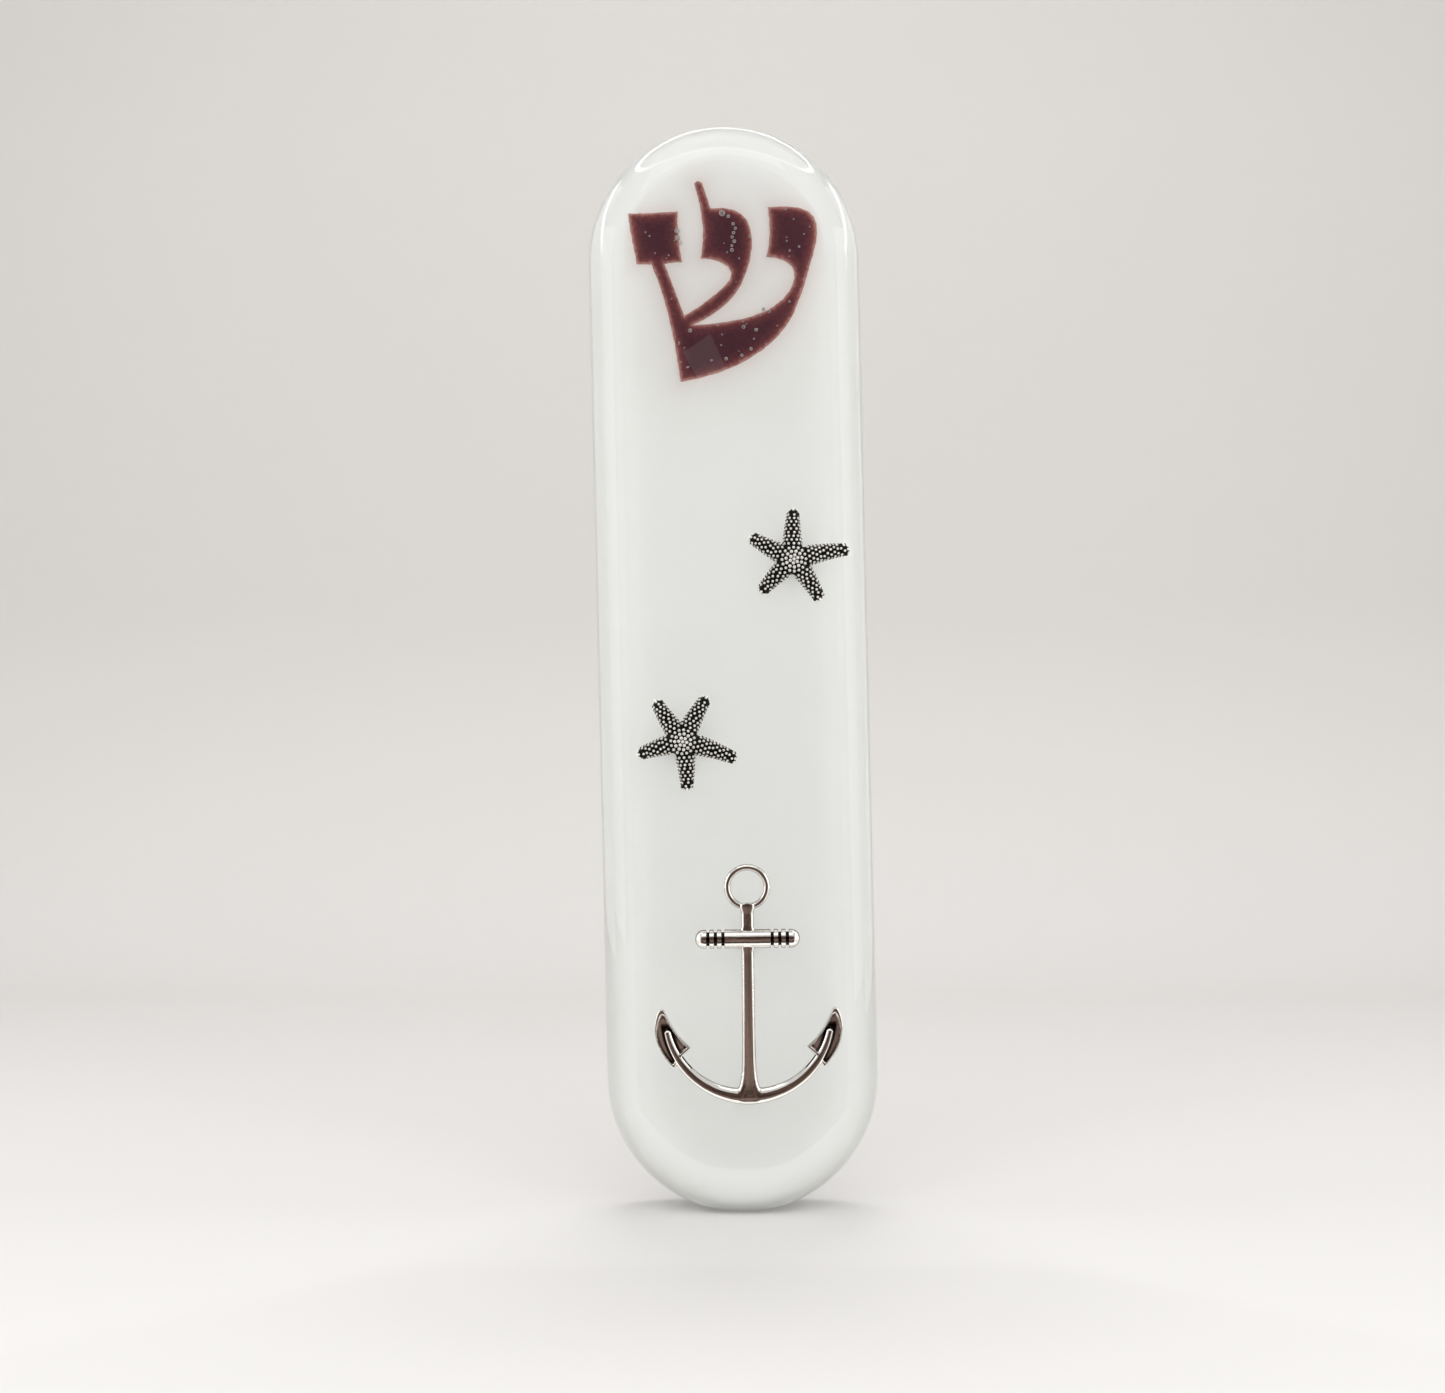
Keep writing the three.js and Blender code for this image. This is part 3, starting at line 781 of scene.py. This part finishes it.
def make_starfish(name, right, up, degrees):
    arms = [Arm(*values) for values in STARFISH_ARMS]
    parts = [arm_skin(arm) for arm in arms]
    rings = []
    for k in range(9):
        turn = math.pi / 2 * k / 9
        radius, height = DISC_RADIUS * math.cos(turn), DISC_HEIGHT * math.sin(turn)
        flat = [on_circle(radius, math.pi * step / 12) for step in range(24)]
        rings.append([(x, -(CHARM_BACK_DEPTH + height), z) for x, z in flat])
    parts.append(tube("disc", rings))
    body = with_modifiers(
        join(*parts),
        ("REMESH", {"mode": "VOXEL", "voxel_size": 0.1}),
        ("SMOOTH", {"factor": 0.5, "iterations": 6}),
    )
    put_attribute(body, "polish", np.full(len(body.data.vertices), 0.05))

    placed = [bead for arm in arms for bead in arm_beads(arm)] + disc_beads()
    points, faces = gather([ball(*place, radius) for place, radius in placed])
    beads = raw_object("beads", points, faces)
    reach = np.hypot(*points_of(beads)[:, [0, 2]].T)
    lift = -points_of(beads)[:, 1] - CHARM_BACK_DEPTH
    worn = 0.8 + 0.25 * np.clip(lift / 1.2, 0, 1) - 0.08 * np.clip(reach / 7, 0, 1)
    worn += 0.25 * np.clip((reach - 5.6) / 0.4, 0, 1)
    worn[lift < 0.3] = 0.4
    put_attribute(beads, "polish", worn)
    made = join(body, beads)
    made.name = name + "_casting"
    turn = Matrix.Rotation(math.radians(-degrees), 4, "Y")
    made.data.transform(Matrix.Translation((right, 0, up)) @ turn)
    return finish_piece(made, "blackened_silver", "case", "blackened_silver", name)


# ---- anchor charm

# The casting's own frame: its origin is the lowest point of the crown, and z runs up the shank.
ANCHOR_X = 0.75
ANCHOR_Z = -55.1
ANCHOR_LEAN = 0.65
ANCHOR_DEPTH = CHARM_BACK_DEPTH + 1.2
BEND_CENTRE = 11.32  # the arms bend round a point this far up the shank
BEND_RADIUS = 10.4
BEND_OUTER_RADIUS = 11.24
STOCK_HEIGHT = 21.0
STOCK_HALF_LENGTH = 6.6
STOCK_RADIUS = 1.17
STOCK_GROOVES = (3.1, 4.05, 5.0)
RING_HEIGHT = 27.5
RING_RADIUS = 2.5
RING_WIRE = 0.4


def turned_bar(name, stations, steps=32, power=2.0):
    """A bar up the z axis from stations (height, half width, half depth), with closed ends."""
    section = oval(1, 1, steps, power)
    rings = [[(wide * c, deep * s, height) for c, s in section] for height, wide, deep in stations]
    return tube(name, rings)


def anchor_shank():
    """Flared where it meets the arms, tapering up to the collar under the ring."""
    flare = [(0.4, 1.7), (0.6, 2.05), (1.0, 2.1), (1.5, 1.75), (2.0, 1.45), (2.6, 1.2), (3.4, 1.02)]
    taper = [(4.4, 0.92), (6, 0.86), (10, 0.82), (15, 0.78), (19.4, 0.76)]
    neck = [(19.8, 0.88), (22.2, 0.88), (22.6, 0.76), (24.3, 0.76), (24.8, 0.95), (25.2, 1.0), (25.5, 0.8)]
    stations = [(height, wide, 0.53 + 0.1 * wide) for height, wide in flare + taper + neck]
    return turned_bar("shank", stations, steps=48, power=2.9)


def anchor_arms():
    """Both arms as one bar bent round the crown, thickest there."""
    rings = []
    steps = 60
    reach = 82
    for k in range(steps + 1):
        share = 2 * k / steps - 1
        angle = math.radians(reach * share)
        thick = 1.12 - 0.62 * abs(share) ** 0.65
        middle = BEND_OUTER_RADIUS - 0.34 * abs(share) ** 0.7 - thick
        deep = 0.68 - 0.12 * abs(share)
        close = max(0.0, (abs(share) - 0.965) / 0.035)
        shrink = math.sqrt(max(1 - close**2, 0.02))
        outward = Vector((math.sin(angle), -math.cos(angle)))
        ring = []
        for u, v in oval(thick * shrink, deep * shrink, 28, power=2.3):
            flat = outward * (middle + u) + Vector((0, BEND_CENTRE))
            ring.append((flat.x, -v - 0.3 * max(v, 0) * u / thick, flat.y))
        rings.append(ring)
    return tube("arms", rings)


def bezier(a, control, b, steps):
    """Points along a curve from a to b, without its last point."""
    a, control, b = Vector(a), Vector(control), Vector(b)
    places = [k / steps for k in range(steps)]
    return [a * (1 - t) ** 2 + control * (2 * t * (1 - t)) + b * t**2 for t in places]


def anchor_palm(side):
    """The leaf on an arm's end: a thin plate with a raised rim and a sunk face."""
    outline = bezier((11.45, 11.8), (12.9, 8.4), (9.5, 4.7), 10)
    outline += [Vector((9.5, 4.7)), Vector((8.5, 6.2)), Vector((7.3, 7.3))]
    outline += bezier((7.3, 7.3), (9.3, 9.0), (10.5, 11.8), 8)[1:]
    outline += bezier((10.5, 11.8), (10.95, 12.75), (11.45, 11.8), 6)
    middle = Vector((10.2, 7.9))
    levels = [(0.9, 0.5), (1.0, 0.3), (1.0, -0.35), (0.95, -0.45), (0.86, -0.45), (0.78, -0.08)]
    rings = []
    for scale, y in levels:
        flat = [middle + (p - middle) * scale for p in outline]
        rings.append([(side * p.x, y, p.y) for p in flat])
    return tube("palm", rings)


def anchor_stock():
    """The crossbar: bulged beads between its grooves, and domed ends."""
    half = [(0, STOCK_RADIUS)]
    lip = [(0.32, 1.02), (0.21, 1.0), (0.16, 0.74)]
    groove_sides = [(-along, share) for along, share in lip] + lip[::-1]
    for groove in STOCK_GROOVES:
        half += [(groove + along, STOCK_RADIUS * share) for along, share in groove_sides]
    straight = STOCK_HALF_LENGTH - STOCK_RADIUS * 0.9
    for degrees in range(10, 90, 10):
        turn = math.radians(degrees)
        half.append((straight + STOCK_RADIUS * 0.9 * math.sin(turn), STOCK_RADIUS * math.cos(turn)))
    mirrored = [(-x, r) for x, r in reversed(half[1:])]
    bar = turned_bar("stock", [(height, radius, radius) for height, radius in mirrored + half])
    turn = Matrix.Rotation(math.radians(90), 4, "Y")
    bar.data.transform(Matrix.Translation((0, 0, STOCK_HEIGHT)) @ turn)
    grooved = np.abs(points_of(bar)[:, 0])
    depth = np.hypot(points_of(bar)[:, 1], points_of(bar)[:, 2] - STOCK_HEIGHT)
    in_groove = (depth < STOCK_RADIUS * 0.9) & (grooved < straight)
    # Patina in the grooves, and painted shade on the sides.
    put_attribute(bar, "patina_and_shade", np.maximum(in_groove, 0.7 * painted_side_shade(bar)))
    return bar


def anchor_ring():
    """The wire ring at the top of the shank."""
    rings = []
    steps = 72
    for k in range(steps):
        ring = []
        for u, v in oval(RING_WIRE, RING_WIRE, 16):
            x, z = on_circle(RING_RADIUS + u, 2 * math.pi * k / steps, RING_HEIGHT)
            ring.append((x, -v, z))
        rings.append(ring)
    made = tube("ring", rings, close=True)
    # Painted shade on the sides of the ring.
    put_attribute(made, "patina_and_shade", 0.8 * painted_side_shade(made))
    return made


def painted_side_shade(made):
    """How much painted shade darkens each point: 0 where the surface faces the front, up to 1 on the sides.
    """
    front = -of_vertices(made, "normal")[:, 1]
    return np.clip((0.6 - front) / 0.35, 0, 1)


def hollowness(made):
    """How far each point lies in a hollow of the surface, from 0 on flats and crests to 1 in creases."""
    mesh = made.data
    points, normals = points_of(made), of_vertices(made, "normal")
    edges = np.empty(len(mesh.edges) * 2, int)
    mesh.edges.foreach_get("vertices", edges)
    a, b = edges.reshape(-1, 2).T
    degree = np.bincount(a, minlength=len(points)) + np.bincount(b, minlength=len(points))

    def averaged(values):
        total = np.zeros_like(values)
        np.add.at(total, a, values[b])
        np.add.at(total, b, values[a])
        return total / np.maximum(degree, 1).reshape(-1, *[1] * (values.ndim - 1))

    wide = points
    for _ in range(6):
        wide = averaged(wide)
    sunk = ((wide - points) * normals).sum(1)
    for _ in range(3):
        sunk = averaged(sunk)
    return np.clip(sunk / 0.04, 0, 1)


def palm_painted_shade(made):
    """How black each point is painted: painted shade on the palms' sunk faces, blackest beside the arm that
    lies over them.
    """
    x, y, z = points_of(made).T
    arm_half_width, fade, face_y, palm_start = 0.5, 0.35, -0.35, 7.2
    from_arm = np.abs(np.hypot(x, z - BEND_CENTRE) - BEND_RADIUS) - arm_half_width
    black = np.clip(1.3 - from_arm / fade, 0, 1) * (y > face_y) * (np.abs(x) > palm_start)
    return black * np.clip((BEND_CENTRE - 0.5 - z) / 0.8, 0, 1)


def make_anchor():
    fused = with_modifiers(
        join(anchor_shank(), anchor_arms(), anchor_palm(-1), anchor_palm(1)),
        ("REMESH", {"mode": "VOXEL", "voxel_size": 0.085}),
        ("SMOOTH", {"factor": 0.5, "iterations": 5}),
    )
    # Patina in the creases, painted shade on the sides, and painted shade in the palms beside the arm.
    patina_and_shade = np.maximum(hollowness(fused), 0.8 * painted_side_shade(fused))
    put_attribute(fused, "patina_and_shade", np.maximum(patina_and_shade, palm_painted_shade(fused)))
    made = join(fused, anchor_stock(), anchor_ring())
    made.name = "anchor_casting"
    lean = Matrix.Rotation(math.radians(ANCHOR_LEAN), 4, "Y")
    made.data.transform(Matrix.Translation((ANCHOR_X, -ANCHOR_DEPTH, ANCHOR_Z)) @ lean)
    return finish_piece(made, "polished_silver", "case", "polished_silver", "anchor")


# ---- glue spots under the charms


def make_glue(node):
    """A spot of clear glue, bulged at its rim."""
    low, high = box_mm(node)
    radius = (high.x - low.x) / 2
    x, z = (low.x + high.x) / 2, (low.z + high.z) / 2
    back, front = -high.y - 0.1, -low.y + 0.1
    rings = []
    for share, swell in ((0, 1.0), (0.2, 1.0), (0.45, 0.93), (0.7, 0.88), (1.0, 0.9)):
        depth = back + (front - back) * share
        rings.append([(x + radius * swell * c, -depth, z + radius * swell * s) for c, s in oval(1, 1, 40)])
    made = tube(node + "_spot", rings)
    return finish_piece(made, "clear_glue", "case", "clear_glue", node)


# ---- mounting tapes


LINER_THICKNESS = 0.12


def slab(name, low, high, bevel):
    """A block with rounded edges."""
    (x0, y0, z0), (x1, y1, z1) = low, high
    points = [(x, y, z) for x in (x0, x1) for y in (y0, y1) for z in (z0, z1)]
    faces = [(0, 1, 3, 2), (4, 6, 7, 5), (0, 4, 5, 1), (2, 3, 7, 6), (0, 2, 6, 4), (1, 5, 7, 3)]
    made = raw_object(name, points, faces)
    return with_modifiers(made, ("BEVEL", {"width": bevel, "segments": 4, "limit_method": "NONE"}))


def make_tape(node):
    """Foam with its release liner still on, a little proud of the foam all round."""
    low, high = box_mm(node)
    joint = high.y - LINER_THICKNESS
    core_low = (low.x + 0.06, low.y, low.z + 0.1)
    core_high = (high.x - 0.06, joint, high.z - 0.1)
    core = slab(node + "_foam", core_low, core_high, 0.08)
    finish_piece(core, "mounting_foam", "case", "mounting_foam", node)
    liner = slab(node + "_liner", (low.x, joint, low.z), high, 0.05)
    finish_piece(liner, "liner", "case", "mounting_foam")


# ---- back cover and its pads

NOTCH_RADIUS = 6.0


def cover_outline():
    """The cover's outline (x, z), with the finger notch at its lower end."""
    radius = COVER_HALF_WIDTH
    end_steps = 64
    # The notch's circle is centred on the lowest point of the cover's end.
    half_mouth = 2 * math.asin(NOTCH_RADIUS / (2 * radius))
    points = []
    for k in range(end_steps + 1):
        points.append(on_circle(radius, math.pi * k / end_steps, HALF_STRAIGHT))
    for first, last in ((math.pi, 1.5 * math.pi - half_mouth), (1.5 * math.pi + half_mouth, 2 * math.pi)):
        for k in range(end_steps // 2 + 1):
            angle = first + (last - first) * k / (end_steps // 2)
            points.append(on_circle(radius, angle, -HALF_STRAIGHT))
        if first == math.pi:
            start = math.pi / 2 + math.acos(NOTCH_RADIUS / (2 * radius))
            notch_steps = 24
            for k in range(1, notch_steps):
                angle = start + (math.pi - 2 * start) * k / notch_steps
                points.append(on_circle(NOTCH_RADIUS, angle, -HALF_STRAIGHT - radius))
    return points


def make_cover():
    outline = cover_outline()
    size = len(outline)
    points = [(x, -COVER_BACK_DEPTH, z) for x, z in outline]
    points += [(x, -COVER_FRONT_DEPTH, z) for x, z in outline]
    faces = [tuple(range(size)), tuple(range(size, 2 * size))]
    faces += [(j, (j + 1) % size, (j + 1) % size + size, j + size) for j in range(size)]
    made = with_modifiers(
        raw_object("back_cover_plate", points, faces),
        ("BEVEL", {"width": 0.25, "segments": 4, "limit_method": "ANGLE", "angle_limit": math.radians(50)}),
    )
    return finish_piece(made, "brushed_sheet", "back_cover", "brushed_sheet", "back_cover")


def make_pad(node):
    """A soft foam block, crowned where it meets the sleeve and pinched in at its sides."""
    low, high = box_mm(node)
    steps = 16
    rings = []
    for k in range(steps + 1):
        share = k / steps
        y = high.y + (low.y - high.y) * share
        pinch = 0.12 * math.sin(math.pi * share) + 0.25 * max(0.0, share - 0.8) / 0.2
        half_x, half_z = (high.x - low.x) / 2 - pinch, (high.z - low.z) / 2 - pinch
        middle_z = (high.z + low.z) / 2
        rings.append([(u, y, middle_z + v) for u, v in oval(half_x, half_z, 64, power=9)])
    made = tube(node + "_foam", rings)
    finish_piece(made, "pad_foam", "back_cover", "pad_foam", node)


# ---- parchment and sleeve

PARCHMENT_HALF_LENGTH = 50.0
PARCHMENT_THICKNESS = 0.35
PARCHMENT_TURNS = 3.5
PARCHMENT_CORE_RADIUS = 1.8
PARCHMENT_PITCH = 0.47
SLEEVE_WALL = 0.2
SLEEVE_LIP_RADIUS = 0.08


def make_parchment():
    """One blank sheet rolled up, with the slight waver of a hand-cut edge at both ends."""
    around = int(PARCHMENT_TURNS * 40)
    section = []
    for side in (1, -1):
        span = range(around + 1) if side > 0 else range(around, -1, -1)
        for k in span:
            angle = 2 * math.pi * PARCHMENT_TURNS * k / around
            radius = PARCHMENT_CORE_RADIUS + PARCHMENT_PITCH * angle / (2 * math.pi)
            radius += PARCHMENT_THICKNESS if side > 0 else 0
            section.append((*on_circle(radius, angle, -SCROLL_DEPTH), angle))
    rings = []
    for share in (-1, -0.999, -0.6, -0.2, 0.2, 0.6, 0.999, 1):
        ring = []
        for x, y, angle in section:
            waver = 0.12 * math.sin(1.7 * angle) + 0.08 * math.sin(4.1 * angle + 1)
            z = share * PARCHMENT_HALF_LENGTH - math.copysign(0.2, share)
            z += waver if abs(share) > 0.9 else 0
            ring.append((x, y, z))
        rings.append(ring)
    made = tube("rolled_parchment", rings)
    return finish_piece(made, "parchment", "scroll", "parchment", "parchment_scroll")


def make_sleeve():
    outer, inner, half = SLEEVE_RADIUS, SLEEVE_RADIUS - SLEEVE_WALL, SLEEVE_HALF_LENGTH
    turned = [(outer, half), (inner, half), (inner, -half), (outer, -half)]
    corners = [(radius, z, SLEEVE_LIP_RADIUS) for radius, z in turned]
    section = rounded_path([(outer, 0, 0), *corners, (outer, 0, 0)], steps=3)[:-1]
    rings = []
    steps = 96
    for k in range(steps):
        angle = 2 * math.pi * k / steps
        rings.append([(*on_circle(p.x, angle, -SCROLL_DEPTH), p.y) for p in section])
    made = tube("clear_sleeve", rings, close=True)
    return finish_piece(made, "clear_film", "scroll", "clear_film", "scroll_sleeve")


# ---- build

make_letter()
make_casing()
make_bubbles()
make_tray()
for starfish, place in STARFISH_PLACES.items():
    make_starfish(starfish, *place)
make_anchor()
# Light that reaches the white layer through the clear glass passes the charms by. Otherwise they would
# throw a dark halo on it.
for charm in ("starfish_upper_casting", "starfish_lower_casting", "anchor_casting"):
    bpy.data.objects[charm].visible_transmission = False
for glue in ("starfish_upper_glue", "starfish_lower_glue", "anchor_stock_glue", "anchor_crown_glue"):
    make_glue(glue)
for tape in ("mounting_tape_left", "mounting_tape_right"):
    make_tape(tape)
make_cover()
for pad in ("cover_pad_upper", "cover_pad_lower"):
    make_pad(pad)
make_parchment()
make_sleeve()


# ---- stage, camera and light

LEAN = math.radians(1.33)  # the case stands with its top leaning this far to the left
UP = Vector((math.sin(LEAN), 0, math.cos(LEAN)))
RIGHT = Vector((math.cos(LEAN), 0, -math.sin(LEAN)))
IN = Vector((0, 1, 0))

SENSOR = 36.0
LENS = 70.0
SIDE_DEPTH = FRONT_DEPTH - EDGE_RADIUS
VIEW_WIDTH = 186.116  # how much the camera sees from side to side, in the plane of the case's sides
CAMERA_DISTANCE = VIEW_WIDTH * LENS / SENSOR
CAMERA_RIGHT = -1.38
CAMERA_UP = -3.54


def stage_point(right, forward, up):
    """A point in metres from millimetres along the leaning stage's own axes, out from the case's middle."""
    return (RIGHT * right + IN * forward + UP * up) * MM


def make_camera():
    data = bpy.data.cameras.new("camera")
    data.lens = LENS
    data.sensor_width = SENSOR
    data.clip_start = 0.01
    camera = new_object("camera", data)
    place = stage_point(CAMERA_RIGHT, -(SIDE_DEPTH + CAMERA_DISTANCE), CAMERA_UP)
    turn = Matrix((RIGHT, UP, -IN)).transposed().to_4x4()
    camera.matrix_world = Matrix.Translation(place) @ turn
    bpy.context.scene.camera = camera


FLOOR_UP = -(HALF_WIDTH + HALF_STRAIGHT * math.cos(LEAN)) - 0.05
WALL_FORWARD = 344.0
WALL_BEND = 90.0
WALL_TOP = 900.0
WALL_GRADED_HEIGHT = 300.0
STAGE_REACH = 1500.0


def stage_mesh(name, points, faces):
    mesh = bpy.data.meshes.new(name)
    mesh.from_pydata([tuple(p) for p in points], [], faces)
    return new_object(name, mesh)


def make_stage():
    """A pale sheet: floor, a bend behind the case, and a wall."""
    corners = [(-STAGE_REACH, FLOOR_UP, 0), (WALL_FORWARD, FLOOR_UP, WALL_BEND), (WALL_FORWARD, WALL_TOP, 0)]
    profile = rounded_path(corners, steps=24)
    points = [stage_point(side * STAGE_REACH, p.x, p.y) for side in (-1, 1) for p in profile]
    count = len(profile)
    faces = [(i, i + 1, i + 1 + count, i + count) for i in range(count - 1)]
    sheet = stage_mesh("stage", points, faces)
    sheet.data.shade_smooth()
    paint = Paint("stage_sheet", Roughness=0.9)
    # Painted shade: the sheet greys a little from the floor up the wall.
    height = paint.node("ShaderNodeSeparateXYZ", Vector=paint.place()).outputs["Z"]
    top = FLOOR_UP + WALL_GRADED_HEIGHT
    climb = paint.node("ShaderNodeMapRange", Value=height, From_Min=FLOOR_UP, From_Max=top)
    graded = paint.ramp(
        climb.outputs[0],
        (0.0, (0.765, 0.753, 0.74)),
        (0.3, (0.705, 0.689, 0.666)),
        (0.7, (0.7, 0.684, 0.664)),
        (1.0, (0.66, 0.646, 0.628)),
    )
    fibres = paint.math("MULTIPLY", paint.noise(120), 0.12)
    paint.set("Base Color", paint.mix(fibres, graded, (0.6, 0.58, 0.56)))
    sheet.data.materials.append(paint.material)


def lamp(name, centre, across, facing, width, height, brightness):
    """A flat lamp. across is the direction of its width, and brightness 1 shows it as white."""
    data = bpy.data.lights.new(name, "AREA")
    data.shape = "RECTANGLE"
    data.size = width * MM
    data.size_y = height * MM
    data.energy = brightness * math.pi * data.size * data.size_y
    light = new_object(name, data)
    back = -facing.normalized()
    side = (across - back * across.dot(back)).normalized()
    turn = Matrix((side, back.cross(side), back)).transposed().to_4x4()
    light.matrix_world = Matrix.Translation(centre) @ turn
    light.visible_camera = False
    return light


def reflection_lamp(name, start, end, facing, height, brightness):
    """A strip from start to end that polished surfaces show, and that lights nothing else."""
    across = end - start
    light = lamp(name, (start + end) / 2, across, facing, across.length / MM, height, brightness)
    light.visible_diffuse = False
    light.visible_transmission = False
    return light


RING_LAMP_UP = HALF_WIDTH + HALF_STRAIGHT + 120.0
RING_LAMP_FORWARD = -SIDE_DEPTH + 16.0
RING_LAMP_RADIUS = 112.0
RING_LAMP_PARTS = 28


def make_ring_lamp():
    """A round lamp overhead, which the rounded glass and the silver show as a thin bright arc."""
    corners = []
    for k in range(RING_LAMP_PARTS + 1):
        angle = 2 * math.pi * k / RING_LAMP_PARTS
        right = RING_LAMP_RADIUS * math.sin(angle)
        forward = RING_LAMP_FORWARD + RING_LAMP_RADIUS * math.cos(angle)
        corners.append(stage_point(right, forward, RING_LAMP_UP))
    for k in range(RING_LAMP_PARTS):
        far_share = 0.5 + 0.5 * math.cos(2 * math.pi * (k + 0.5) / RING_LAMP_PARTS)
        reflection_lamp(f"ring_{k}", corners[k], corners[k + 1], -UP, 9, 3 + 7 * far_share)


def make_lights():
    middle = stage_point(0, 0, 0)
    overhead = stage_point(0, 210, 400)
    ceiling = lamp("overhead", overhead, RIGHT, -UP * 0.8 - IN * 0.6, 220, 160, 6.0)
    ceiling.visible_glossy = False
    front = stage_point(0, -320, 120)
    fill = lamp("front_fill", front, RIGHT, middle - front, 520, 240, 2.35)
    fill.visible_glossy = False
    for side in (-1, 1):
        beside = stage_point(side * 300, -75, 52)
        lamp(f"side_fill_{side}", beside, IN, middle - beside, 180, 240, 1.3)
        # A panel beside the wall, which the outermost edge of the glass shows.
        near, far = stage_point(side * 300, 20, 60), stage_point(side * 300, 330, 60)
        reflection_lamp(f"rim_{side}", near, far, RIGHT * -side, 520, 1.2)
    # Light thrown up by the floor under the front of the case.
    lamp("floor_glow", stage_point(0, -28, FLOOR_UP + 1), RIGHT, UP, 90, 32, 0.3)
    make_ring_lamp()
    key = stage_point(-150, -200, 270)
    reflection_lamp("key", key, key + RIGHT * (300 * MM), middle - key, 110, 0.95)
    # Two slanting strips beside the case, which catch the shoulders of the glass.
    for side in (-1, 1):
        start = stage_point(side * 250, 200, 290)
        end = stage_point(side * 390, -30, 125)
        reflection_lamp(f"shoulder_{side}", start, end, middle - (start + end) / 2, 40, 4)
    # A small bright patch, seen mirrored in the flat of the front over the letter.
    patch = stage_point(-9, -CAMERA_DISTANCE, 79)
    reflection_lamp("patch", patch, patch + (RIGHT * 7 + UP * 4) * MM, middle - patch, 9, 0.55)
    world = bpy.data.worlds.new("studio")
    world.use_nodes = True
    background = world.node_tree.nodes["Background"]
    background.inputs["Color"].default_value = (1.0, 0.99, 0.975, 1)
    background.inputs["Strength"].default_value = 0.63
    bpy.context.scene.world = world
    bpy.context.scene.view_settings.view_transform = "Standard"


def make_flag():
    """The dim room in front of the case, there only for polished surfaces to show."""
    near, far = 45.0, 620.0
    low = FLOOR_UP + 1
    high = far * math.tan(math.radians(28))
    points = []
    for distance, up in ((near, low), (far, low), (far, high)):
        half = distance * math.tan(math.radians(40))
        points += [stage_point(-half, -distance, up), stage_point(half, -distance, up)]
    flag = stage_mesh("flag", points, [(0, 1, 3, 2), (2, 3, 5, 4)])
    # Painted reflection: the sheet's dark and brown patches stand for the dim room that the silver and the
    # glass reflect.
    paint = Paint("dim_room_painted_reflection", Roughness=1.0)
    patches = paint.ramp(paint.noise(70), (0.38, (0.012, 0.008, 0.007)), (0.62, (0.18, 0.102, 0.075)))
    paint.set("Base Color", patches)
    flag.data.materials.append(paint.material)
    flag.visible_camera = False
    flag.visible_diffuse = False
    flag.visible_transmission = False
    flag.visible_shadow = False


make_camera()
make_stage()
make_flag()
make_lights()
